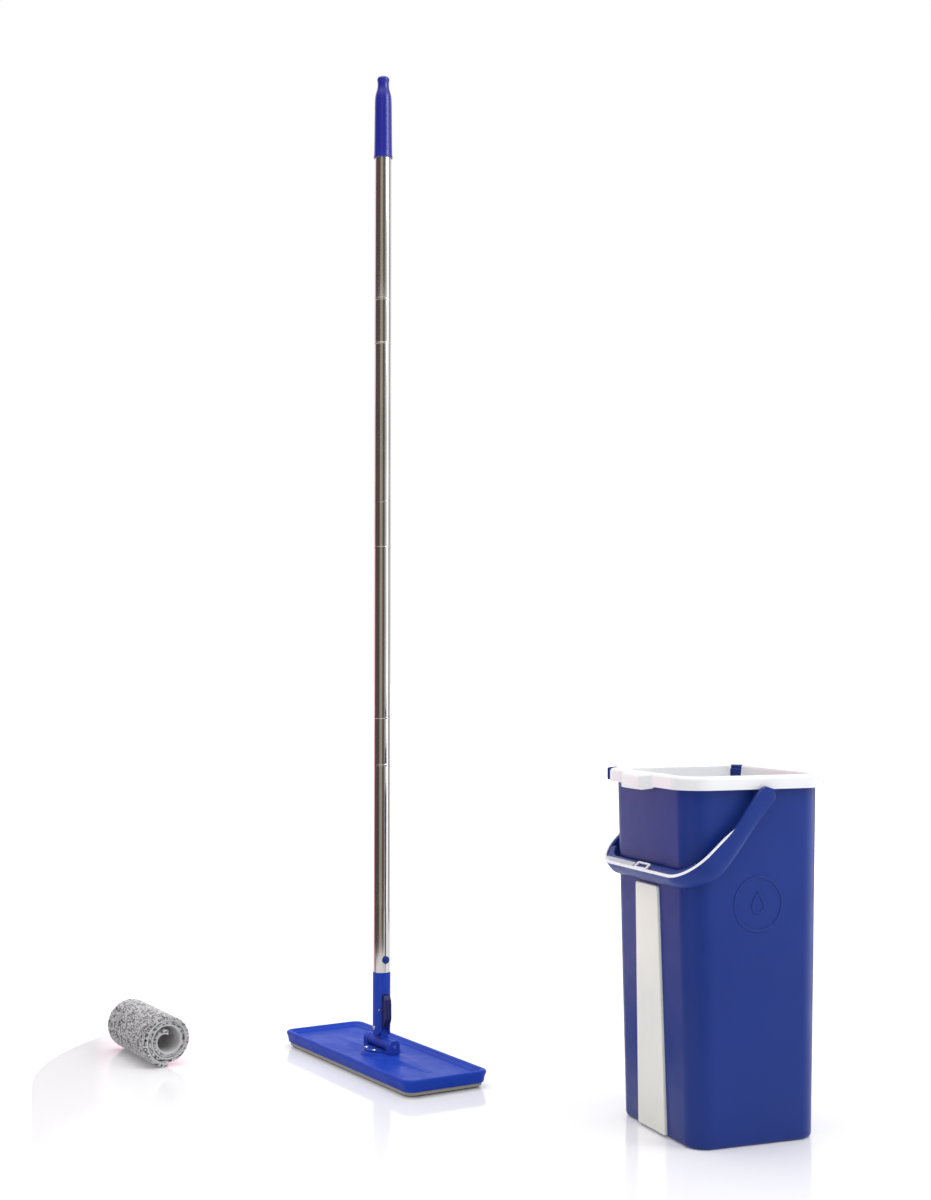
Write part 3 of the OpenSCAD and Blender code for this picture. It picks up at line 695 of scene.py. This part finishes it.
ARM_TOP = [(0, 10), (14, 8.0), (28, 5), (40, 2.2), (50, 0.5), (60, 0), (130, 0)]
ARM_LOW = [
    (0, -10), (15, -11.2), (30, -13.5), (60, -20), (80, -23.2), (92, -24), (104, -22.6), (115, -19.8),
    (124, -17.6), (130, -17),
]


def bail_frames(start, step=4.0):
    """(outer face point, outward normal, distance from the pivots) along the U.

    They run from start on the right arm, round the front, to the same place on the left.
    """
    out = []
    front = REACH - BAIL_R
    n = 18
    count = int((front - start) / step)
    for k in range(count):
        s = start + (front - start) * (k / count)
        out.append((HALF_W, -s, 1, 0, s))
    for k in range(n + 1):
        a = -pi / 2 * k / n
        y = -front + BAIL_R * sin(a)
        out.append((HALF_W - BAIL_R + BAIL_R * cos(a), y, cos(a), sin(a), -y))
    mirrored = [(-x, y, -nx, ny, s) for x, y, nx, ny, s in out[::-1]]
    middle = [(x, -REACH, 0, -1, REACH) for x in np.linspace(HALF_W - BAIL_R, -(HALF_W - BAIL_R), 26)[1:-1]]
    return out + middle + mirrored


def bail_shells():
    sections = []
    for x, y, nx, ny, s in bail_frames(-9.9):
        if s < 0:
            top = math.sqrt(max(100 - s * s, 1.5))
            low = -top
        else:
            top, low = interp(s, ARM_TOP), interp(s, ARM_LOW)
        deep = top - low
        points = [(-5.2, top), (-1.6, top)]
        for v in (0.03, 0.1, 0.2, 0.35, 0.5, 0.65, 0.78, 0.88, 0.95, 0.99):
            crown = 0.9 * (2 * v - 1) ** 2 + 1.7 * max(0, v - 0.6) ** 2 / 0.16 * min(
                1, s / 60 if s > 0 else 0,
            )
            points.append((-crown, top - deep * v))
        points += [(-3.4, low), (-5.4, low + 0.2), (-6, low + 1.2), (-6, (top + low) / 2), (-6, top - 0.9)]
        sections.append([(x + nx * o, y + ny * o, z) for o, z in points])
    shells = [skin(sections)]
    # inner flange under the fingers
    flange = [
        (-4.5, -0.05), (-12.4, -0.05), (-13, -0.5), (-13.1, -1.5), (-13, -2.6), (-12.4, -3.1), (-4.5, -3.1),
    ]
    path = [f for f in bail_frames(80.0) if f[4] > 106]
    shells.append(sweep([f[:4] for f in path], flange))
    for s in (-1, 1):
        turn = Matrix.Rotation(s * pi / 2, 4, "Y")
        shells.append(
            lathe(
                [
                    (0, 86.6), (4.2, 86.6), (5, 87.4), (5, 96.9), (5.4, 97), (6, 97.6), (6, 101.5),
                    (0, 101.5),
                ],
                40, turn,
            ),
        )
    return shells


# A white strip along the bail's upper edge, from the front round both corners and tapering out up the arms,
# with finger ribs and a clip frame.
def white_edge_shells():
    section = [
        (-0.9, 0.02), (-0.6, 0.3), (-0.6, 1.2), (-0.95, 1.6), (-1.4, 1.66), (-3.2, 1.66), (-3.75, 1.55),
        (-4, 1.2), (-4, 0.3), (-3.8, 0.02),
    ]
    middle, base = -2.3, 0.02
    sections = []
    for x, y, nx, ny, s in bail_frames(50.0, step=3.0):
        k = min(1, (s - 49.5) / 14)
        across = [(middle + (o - middle) * k, base + (z - base) * (0.3 + 0.7 * k)) for o, z in section]
        sections.append([(x + nx * o, y + ny * o, z) for o, z in across])
    shells = [skin(sections)]
    inner = -(REACH - ARM_T)
    for k in range(19):  # finger ribs
        x = -82 + 3.6 * k
        shells.append(
            moved(
                loft(
                    [
                        (1.5, 5.4, 0.5, 0.0), (1.5, 5.4, 0.5, 1.25), (1.2, 5.1, 0.5, 1.55),
                        (0.7, 4.6, 0.3, 1.66),
                    ],
                    n=3,
                ),
                Matrix.Translation((x + 0.75, inner + 0.8, 0)),
            )
        )
    frame_out = rounded_poly(
        [(-10, inner - 3.5), (18, inner - 3.5), (18, inner + 5.5), (-10, inner + 5.5)], [2.4] * 4,
    )
    frame_in = rounded_poly(
        [(-7, inner - 1.5), (15, inner - 1.5), (15, inner + 3.4), (-7, inner + 3.4)], [1.2] * 4,
    )
    shells.append(plate([frame_out, frame_in], 0.02, 2.25, 0.35))
    return shells


piece("bail", bail_shells(), blue, "handle", ("handle_bail",), angle=40, matrix=BAIL)
piece(
    "bail_white_edge", white_edge_shells(), white_edge_plastic, "handle", ("handle_trim",), angle=40, matrix=BAIL,
)

# ---- mop head ----


def tray_shells():
    levels = [
        (10, 7, 8.6), (5.2, 9.6, 8.6), (4.8, 9.9, 6.7), (4.5, 10, 6.4), (3.9, 10.4, 6.3), (3.4, 10.9, 6.5),
        (3.1, 11.2, 7.2),
        (1.5, 12.8, 14.4), (0.6, 13.6, 16.2), (0.2, 14, 17.6),
        (0.25, 14, 18.6), (0.7, 13.5, 19.5), (1.5, 12.8, 20.2), (2.6, 12, 20.55), (3.8, 11, 20.6),
        (5, 10, 20.3), (6, 9.2, 19.8),
        (8, 7.6, 18.2), (8.5, 7.2, 17.85), (9.2, 6.6, 17.7), (10, 6.2, 17.7), (10.6, 5.9, 17.4),
        (12, 5.3, 15.9), (12.6, 5.1, 15.6), (13.6, 5, 15.5),
    ]
    shells = [inset_loft(HEAD_L, HEAD_W, levels)]
    # raised seat that runs out to a long spine
    sections = []
    reach, tip_r, seat_z, end_z, foot_z = 121, 9, 19.6, 15.75, 15.3
    straight = reach - tip_r
    for u in np.linspace(-reach, reach, 161).tolist():
        a = abs(u)
        tip = math.sqrt(max(tip_r**2 - max(a - straight, 0) ** 2, 0.4)) / tip_r
        half = (27 - 18 * a / straight if a > 6 else 26.6) * tip if a <= straight else tip_r * tip
        crest = seat_z if a < 22 else end_z + (seat_z - end_z) * max(0, (reach - a) / (reach - 22))
        row = []
        for v in np.linspace(-1, 1, 41):
            d = abs(v) * half
            ridge = min(1, max(0, (1 - d / half) / 0.62))
            disc = min(1, max(0, (26.5 - math.hypot(a, d)) / 2.6))
            z = foot_z + (crest - foot_z) * max(ridge * (0.55 + 0.45 * ridge), disc)
            row.append((u, v * half, z))
        row += [(u, half, 14.6), (u, -half, 14.6)]
        sections.append(row)
    shells.append(skin(sections))
    return shells


piece("head_tray", tray_shells(), head_blue, "mop_head", ("head_plate",), angle=34, matrix=MOP)

# ---- mop pad ----


def pad_pile_shell():
    """Looped pile under the plate: a closed rounded pad whose sides and underside are all loops."""
    rings = []
    w, d = PAD_L, PAD_W
    levels = [
        (1.5, 7.0), (0.7, 6.6), (0.2, 5.8), (0, 4.9), (0, 4.0), (0.1, 3.1), (0.4, 2.3), (1.0, 1.5),
        (1.9, 0.9), (3.1, 0.6),
    ]
    levels += [(3.1 + 1.6 * k, 0.6) for k in range(1, 29)]
    n = 520
    base = ring(w, d, 13, 0, 30)
    lengths = np.cumsum(
        [0] + [math.dist(base[i][:2], base[(i + 1) % len(base)][:2]) for i in range(len(base))],
    )
    t = np.linspace(0, lengths[-1], n, endpoint=False)
    px = np.interp(t, lengths, [p[0] for p in base] + [base[0][0]])
    py = np.interp(t, lengths, [p[1] for p in base] + [base[0][1]])
    half_d = d / 2
    for inset, z in levels:
        k = 1 - inset / half_d
        rings.append(
            np.stack([np.sign(px) * np.maximum(np.abs(px) - inset, 0.2 * k), py * k, np.full(n, z)], 1),
        )
    points = np.concatenate(rings)
    flat = np.concatenate([np.stack([t, np.full(n, 1.3 * j)], 1) for j in range(len(levels))])
    near, tone = loops(flat / np.array((2.3, 1.9)), 5)
    height = near ** 0.7
    normal = np.zeros_like(points)
    for j in range(len(levels)):
        out = max(0.0, 1 - j / 9)
        down = 1 - out
        row = slice(j * n, (j + 1) * n)
        side = np.stack([px / (w / 2), py / half_d], 1)
        side /= np.maximum(np.linalg.norm(side, axis=1, keepdims=True), 1e-6)
        normal[row, 0], normal[row, 1], normal[row, 2] = side[:, 0] * out, side[:, 1] * out, -down
    points = points + normal * ((height - 0.55) * 1.1)[:, None]
    points[:, 2] = np.clip(points[:, 2], 0.02, 7.05)
    low = np.clip((points[:, 2] - 0.8) / 4.2, 0, 1)  # painted shadow: the underside of the edge is darker
    # Painted shade: lower parts of the loops are darker, as shade between them; each loop's random tone is
    # the yarn's own.
    yarn_tone_and_painted_shade = (0.1 + 0.72 * height * (0.6 + 0.4 * tone)) * (0.55 + 0.4 * low)
    sections = [points[j * n : (j + 1) * n].tolist() for j in range(len(levels))]
    return skin(sections), yarn_tone_and_painted_shade


pad_shell, pad_tone_and_shade = pad_pile_shell()
mop_pad = piece(
    "mop_pad", [pad_shell], pile, "mop_head", ("pad_pile",), angle=60, matrix=MOP,
    loop=pad_tone_and_shade,
)


def pad_backing_shells():
    """Woven backing with a stitched, slightly rolled edge."""
    levels = [
        (4, 12, 2.4), (0.5, 12.6, 2.2), (-0.4, 13.2, 2.4), (-0.8, 13.6, 3.1), (-0.85, 13.6, 4.8),
        (-0.6, 13.3, 5.8),
        (0.3, 12.6, 6.2), (0.6, 12.4, 8.2), (2, 12, 8.4), (6, 11, 8.4),
    ]
    return [inset_loft(PAD_L, PAD_W, levels, 20)]


mop_backing = piece(
    "mop_pad_backing", pad_backing_shells(), pad_edge, "mop_head", ("pad_backing",),
    matrix=MOP,
)

# ---- pole ----


TUBE_END = [(9.9, 0), (10.2, 0), (10.42, 0.12), (10.5, 0.5)]
COUPLING_END = [(9.9, 0), (10.45, 0), (10.75, 0.15), (10.85, 0.5), (10.85, 1.7), (10.77, 2.0)]
COUPLING_END += [(10.55, 2.3), (10.51, 2.7), (10.55, 3.2)]


def double_ended(end, z0, z1):
    """A tube from z0 to z1 with the same (radius, distance in) profile at both ends."""
    return lathe([(r, z0 + h) for r, h in end] + [(r, z1 - h) for r, h in end[::-1]], 72)


for k, (z0, z1) in enumerate(TUBES, 1):
    piece(
        f"pole_tube_{k}", [double_ended(TUBE_END, z0, z1)], tube_steel, "pole",
        (f"tube_{k}",), matrix=MOP,
    )
for k, (z0, z1) in enumerate(COUPLINGS, 1):
    piece(
        f"pole_joint_{k}", [double_ended(COUPLING_END, z0, z1)], tube_steel, "pole",
        (f"coupling_{k}",), matrix=MOP,
    )


def grip_shell():
    profile = [
        (10.55, 0.3), (10.9, 0), (11.7, 0), (12.0, 0.3), (12.02, 1.4), (11.8, 3), (11.55, 5), (11.35, 12),
        (11.2, 22), (11.0, 45), (10.75, 70), (10.5, 76), (10.1, 79.5), (9.3, 83), (8.4, 86.2), (7.7, 89),
        (7.25, 92), (7.15, 95), (7.3, 97.4), (7.7, 99.2), (7.85, 100.6), (7.6, 102), (6.8, 103.3),
        (5.2, 104.3), (2.8, 104.9), (0, 105),
    ]
    inner = [(0, 34), (10.55, 34)]
    return lathe([(r, GRIP_Z + z) for r, z in inner + profile], 64)


piece("pole_grip", [grip_shell()], grip_blue, "pole", ("grip",), angle=40, matrix=MOP)

# ---- spare pad, rolled ----


def spiral(turn_from, turn_to, step):
    """Angles and radii of the wound strip's outer face. Below turn 0 its end curls into the hole."""
    angles, radii = [], []
    k = turn_from
    while k < turn_to + 1e-9:
        r = ROLL_CORE + ROLL_PITCH * (1 + k)
        if k < 0:
            r = ROLL_CORE + ROLL_PITCH + 17 * k - 36 * k * k
        angles.append(rad(-90 + 360 * (k - ROLL_TURNS)))
        radii.append(r)
        k += step / (2 * pi * max(r, 5))
    return np.array(angles), np.array(radii)


def roll_sections(fine, coarse):
    """The whole winding, in fine steps on its outermost turn and coarse ones inside."""
    a1, r1 = spiral(CURL, ROLL_TURNS - 1.05, coarse)
    a2, r2 = spiral(ROLL_TURNS - 1.05, ROLL_TURNS, fine)
    return np.concatenate([a1, a2[1:]]), np.concatenate([r1, r2[1:]])


def spare_pile():
    step = 0.62
    a, r = roll_sections(step, 1.3)
    run = np.concatenate([[0], np.cumsum(np.abs(np.diff(a)) * (r[1:] + r[:-1]) / 2)])
    m = int(ROLL_L / step)
    us = np.linspace(0.9, ROLL_L - 0.9, m)
    # section: outer face, rounded end, inner face, rounded end, as (along the axis, depth)
    section = [(u, 0.0) for u in us]
    section += [
        (ROLL_L - 0.25, 0.5), (ROLL_L, 1.3), (ROLL_L, 2.2), (ROLL_L - 0.1, 3.2), (ROLL_L - 0.6, PILE_T),
    ]
    section += [(u, PILE_T) for u in np.linspace(ROLL_L - 6, 6, 12)]
    section += [(0.6, PILE_T), (0.1, 3.2), (0, 2.2), (0, 1.3), (0.25, 0.5)]
    s = np.array(section)
    n = len(s)
    across = np.concatenate([[0], np.cumsum(np.hypot(np.diff(s[:, 0]), np.diff(s[:, 1])))])
    flat = np.stack([np.repeat(run, n), np.tile(across, len(a))], 1)
    near, tone = loops(flat / np.array((2.0, 1.55)), 11)
    near2, tone2 = loops(flat / np.array((3.9, 3.3)), 12)
    height = np.clip(near, 0, 1) ** 0.75
    out_axis = np.zeros(n)
    out_radial = np.zeros(n)
    out_radial[:m] = 1
    out_axis[m : m + 5] = (0.6, 1, 1, 1, 0.5)
    out_radial[m : m + 5] = (0.7, 0.2, 0, 0, 0)
    out_axis[-5:] = (-0.5, -1, -1, -1, -0.6)
    out_radial[-5:] = (0, 0, 0, 0.2, 0.7)
    lift = ((height - 0.62) * 1.25 + (tone - 0.5) * 0.35 + (near2 - 0.5) * 0.3).reshape(len(a), n)
    rr = r[:, None] - s[None, :, 1] + out_radial[None, :] * lift
    uu = s[None, :, 0] + out_axis[None, :] * lift * 0.7
    # ends of the strip thin out to a rounded edge
    taper = np.clip((run[-1] - run) / 4, 0, 1) ** 0.5
    keep = 0.35 + 0.65 * taper
    rr = (r[:, None] - PILE_T) + (rr - (r[:, None] - PILE_T)) * keep[:, None]
    rr = np.minimum(rr, ROLL_R + 0.35)
    x, y = rr * np.cos(a)[:, None], rr * np.sin(a)[:, None]
    y = np.maximum(y, -ROLL_R + 0.02)
    points = np.stack([x, y, uu], 2)
    # Painted shade: lower parts of the loops are darker, as shade between them; the rare darker random
    # loops are the yarn's own tone.
    deep = 0.1 + 0.85 * height * (0.62 + 0.38 * tone)
    deep = deep - 0.16 * (tone2 > 0.86) - 0.3 * (tone < 0.09)
    return skin([points[j].tolist() for j in range(len(a))]), deep.clip(0, 1)


spare_shell, spare_tone_and_shade = spare_pile()
spare = piece(
    "spare_pad", [spare_shell], pile, "spare_pad", ("spare_pad_pile",), angle=70, matrix=ROLL,
    loop=spare_tone_and_shade,
)


def spare_backing_shell():
    a, r = roll_sections(2.2, 2.2)
    outer, inner = PILE_T + 0.05, ROLL_PITCH - ROLL_GAP
    us = np.linspace(0.4, ROLL_L - 0.4, 24)
    section = [(u, outer) for u in us] + [(u, inner) for u in us[::-1]]
    return skin([[((q - d) * cos(t), (q - d) * sin(t), u) for u, d in section] for t, q in zip(a, r)])


def edge_stitch_shells():
    """Whip stitching along both long edges, where the pile meets the backing."""
    a, r = roll_sections(0.7, 0.7)
    out = []
    for u0, sign in ((ROLL_L, 1), (0, -1)):
        sections = []
        for j, (t, q) in enumerate(zip(a, r)):
            thick = 0.5 + 0.22 * sin(j * 2.1)
            mid = q - PILE_T + 0.15 * sin(j * 0.9)
            row = []
            for i in range(7):
                b = 2 * pi * i / 7
                q = mid + thick * 1.25 * cos(b)
                row.append((q * cos(t), q * sin(t), u0 + sign * (-0.2 + thick * 0.8 * sin(b))))
            sections.append(row)
        out.append(skin(sections))
    return out


spare_backing = piece(
    "spare_pad_lining", [spare_backing_shell()], lining, "spare_pad", ("spare_pad_backing",),
    matrix=ROLL,
)
spare_edge = piece(
    "spare_pad_stitching", edge_stitch_shells(), stitch, "spare_pad", (), angle=70,
    matrix=ROLL,
)
turns_a, turns_r = roll_sections(2.2, 2.2)

# ---- CAD nodes that keep their shape ----

FINISHES = {
    "wash_shaft": inner_white,
    "wring_shaft": inner_white,
    "blade_holder": inner_white,
    "scrub_strips": rubber,
    "squeeze_blade": rubber,
    "insert_screws": bolt_steel,
    "hook_strips": hooks,
    "swivel_base": head_blue,
    "swivel_yoke": head_blue,
    "lower_sleeve": head_blue,
    "lock_tab": navy,
    "snap_button": blue,
    "swivel_screws": bolt_steel,
    "base_pin": bolt_steel,
    "yoke_pin": bolt_steel,
    "tab_pin": bolt_steel,
    "tab_spring": bolt_steel,
    "button_spring": bolt_steel,
    "thread_plug_1": navy,
    "thread_plug_2": navy,
    "thread_plug_3": navy,
}
for name, finish in FINISHES.items():
    mesh = nodes[name].data
    mesh.materials.clear()
    mesh.materials.append(finish)

# ---- floor, world and lights ----


def floor_object():
    mesh = bpy.data.meshes.new("floor")
    half = 40
    corners = [(-half, -half, 0), (half, -half, 0), (half, half, 0), (-half, half, 0)]
    mesh.from_pydata(corners, [], [(0, 1, 2, 3)])
    o = bpy.data.objects.new("floor", mesh)
    bpy.context.scene.collection.objects.link(o)
    m, t, link, p = material("floor_gloss")
    p.inputs["Base Color"].default_value = (0.79, 0.79, 0.805, 1)
    p.inputs["Roughness"].default_value = 0.1
    p.inputs["Emission Color"].default_value = (1, 1, 1, 1)
    # glossy round the set, and an even white farther out
    distance = node(t, "ShaderNodeVectorMath", operation="LENGTH")
    link.new(t.new("ShaderNodeTexCoord").outputs["Object"], distance.inputs[0])
    for socket, near, far in (("Specular IOR Level", 0.4, 0.0), ("Emission Strength", 0.13, 0.7)):
        fade = remap(t, near, far, 1.0, 2.0, interpolation_type="SMOOTHSTEP")
        link.new(distance.outputs["Value"], fade.inputs["Value"])
        link.new(fade.outputs["Result"], p.inputs[socket])
    mesh.materials.append(m)


floor_object()

world = bpy.data.worlds.new("studio")
bpy.context.scene.world = world
world.use_nodes = True
wt, wl = world.node_tree.nodes, world.node_tree.links
wt.clear()
# Softboxes and dark flags round the set: (share of a full turn from -X, colour)
SIDES = [
    (0.0, (1.0, 1.0, 1.0)),
    (0.035, (1.0, 0.98, 0.98)),
    (0.055, (1.7, 1.0, 1.15)),
    (0.10, (1.6, 0.92, 1.1)),
    (0.13, (0.13, 0.10, 0.09)),
    (0.33, (0.10, 0.08, 0.07)),
    (0.37, (0.50, 0.44, 0.36)),
    (0.44, (0.44, 0.39, 0.32)),
    (0.465, (0.09, 0.075, 0.075)),
    (0.52, (0.16, 0.14, 0.13)),
    (0.56, (0.62, 0.66, 0.72)),
    (0.605, (0.85, 0.88, 0.92)),
    (0.625, (2.0, 2.0, 2.05)),
    (0.675, (2.0, 2.0, 2.05)),
    (0.71, (0.40, 0.36, 0.35)),
    (0.76, (0.6, 0.58, 0.58)),
    (0.80, (1.0, 0.99, 0.99)),
    (1.0, (1.0, 1.0, 1.0)),
]


def sides_by_angle(tree, links, coordinates):
    """The set's colour by compass angle, and the height of the same coordinates."""
    split = tree.new("ShaderNodeSeparateXYZ")
    links.new(coordinates, split.inputs[0])
    angle = node(tree, "ShaderNodeMath", operation="ARCTAN2")
    links.new(split.outputs["Y"], angle.inputs[0])
    links.new(split.outputs["X"], angle.inputs[1])
    turn = remap(tree, 0.0, 1.0, -pi, pi)
    links.new(angle.outputs[0], turn.inputs["Value"])
    ramp = ramp_of(tree, SIDES)
    links.new(turn.outputs["Result"], ramp.inputs["Fac"])
    return ramp.outputs["Color"], split.outputs["Z"]


def reflected_wall(name, r, top, a0, a1):
    """Backdrop that only reflections see. It keeps the floor out of the pole's and bucket's shine."""
    n = 96
    angles = [rad(a0 + (a1 - a0) * k / n) for k in range(n + 1)]
    mesh = bpy.data.meshes.new(name)
    mesh.from_pydata(
        [(r * cos(a), r * sin(a), z) for z in (0.002, top) for a in angles],
        [],
        [(k, n + k + 1, n + k + 2, k + 1) for k in range(n)],
    )
    o = bpy.data.objects.new(name, mesh)
    o.location = MOP.translation * MM
    bpy.context.scene.collection.objects.link(o)
    for ray in ("camera", "diffuse", "shadow", "transmission", "volume_scatter"):
        setattr(o, "visible_" + ray, False)
    m = bpy.data.materials.new(name)
    m.use_nodes = True
    tree, links = m.node_tree.nodes, m.node_tree.links
    tree.clear()
    colour, _ = sides_by_angle(tree, links, tree.new("ShaderNodeTexCoord").outputs["Object"])
    glow = tree.new("ShaderNodeEmission")
    links.new(colour, glow.inputs["Color"])
    side = tree.new("ShaderNodeMixShader")
    links.new(tree.new("ShaderNodeNewGeometry").outputs["Backfacing"], side.inputs[0])
    links.new(glow.outputs[0], side.inputs[1])
    links.new(tree.new("ShaderNodeBsdfTransparent").outputs[0], side.inputs[2])
    links.new(side.outputs[0], tree.new("ShaderNodeOutputMaterial").inputs[0])
    mesh.materials.append(m)


reflected_wall("reflected_wall", r=0.85, top=0.74, a0=0, a1=360)
reflected_wall("reflected_low_wall", r=0.42, top=0.1, a0=-165, a1=10)
sky_colour, sky_height = sides_by_angle(wt, wl, wt.new("ShaderNodeTexCoord").outputs["Generated"])
up = remap(wt, 0.0, 1.0, 0.45, 0.85, interpolation_type="SMOOTHSTEP")
wl.new(sky_height, up.inputs["Value"])
gloss_sky = node(wt, "ShaderNodeMix", data_type="RGBA")
gloss_sky.inputs["B"].default_value = (1.25, 1.25, 1.28, 1)
wl.new(up.outputs["Result"], gloss_sky.inputs["Factor"])
wl.new(sky_colour, gloss_sky.inputs["A"])
soft_sky = node(wt, "ShaderNodeMix", data_type="RGBA")
soft_sky.inputs["Factor"].default_value = 0.4
soft_sky.inputs["B"].default_value = (1.0, 1.0, 1.02, 1)
wl.new(gloss_sky.outputs["Result"], soft_sky.inputs["A"])
rays = wt.new("ShaderNodeLightPath")
pick = node(wt, "ShaderNodeMix", data_type="RGBA")
wl.new(rays.outputs["Is Glossy Ray"], pick.inputs["Factor"])
wl.new(soft_sky.outputs["Result"], pick.inputs["A"])
wl.new(gloss_sky.outputs["Result"], pick.inputs["B"])
seen = node(wt, "ShaderNodeMix", data_type="RGBA")
seen.inputs["B"].default_value = (1.0, 1.0, 1.0, 1)
wl.new(rays.outputs["Is Camera Ray"], seen.inputs["Factor"])
wl.new(pick.outputs["Result"], seen.inputs["A"])
background = wt.new("ShaderNodeBackground")
wl.new(seen.outputs["Result"], background.inputs["Color"])
wl.new(background.outputs[0], wt.new("ShaderNodeOutputWorld").inputs[0])


def area(name, at, target, size, power):
    light = bpy.data.lights.new(name, "AREA")
    light.shape = "DISK"
    light.size = size
    light.energy = power
    o = bpy.data.objects.new(name, light)
    o.location = at
    o.rotation_euler = (Vector(target) - Vector(at)).to_track_quat("-Z", "Y").to_euler()
    bpy.context.scene.collection.objects.link(o)


area("key", (1.6, 1.5, 2.4), (-0.1, -0.1, 0.3), 1.4, 26)
area("top", (-0.3, -0.6, 3.2), (-0.2, -0.2, 0.2), 2.4, 30)
bpy.context.scene.view_settings.view_transform = "Standard"
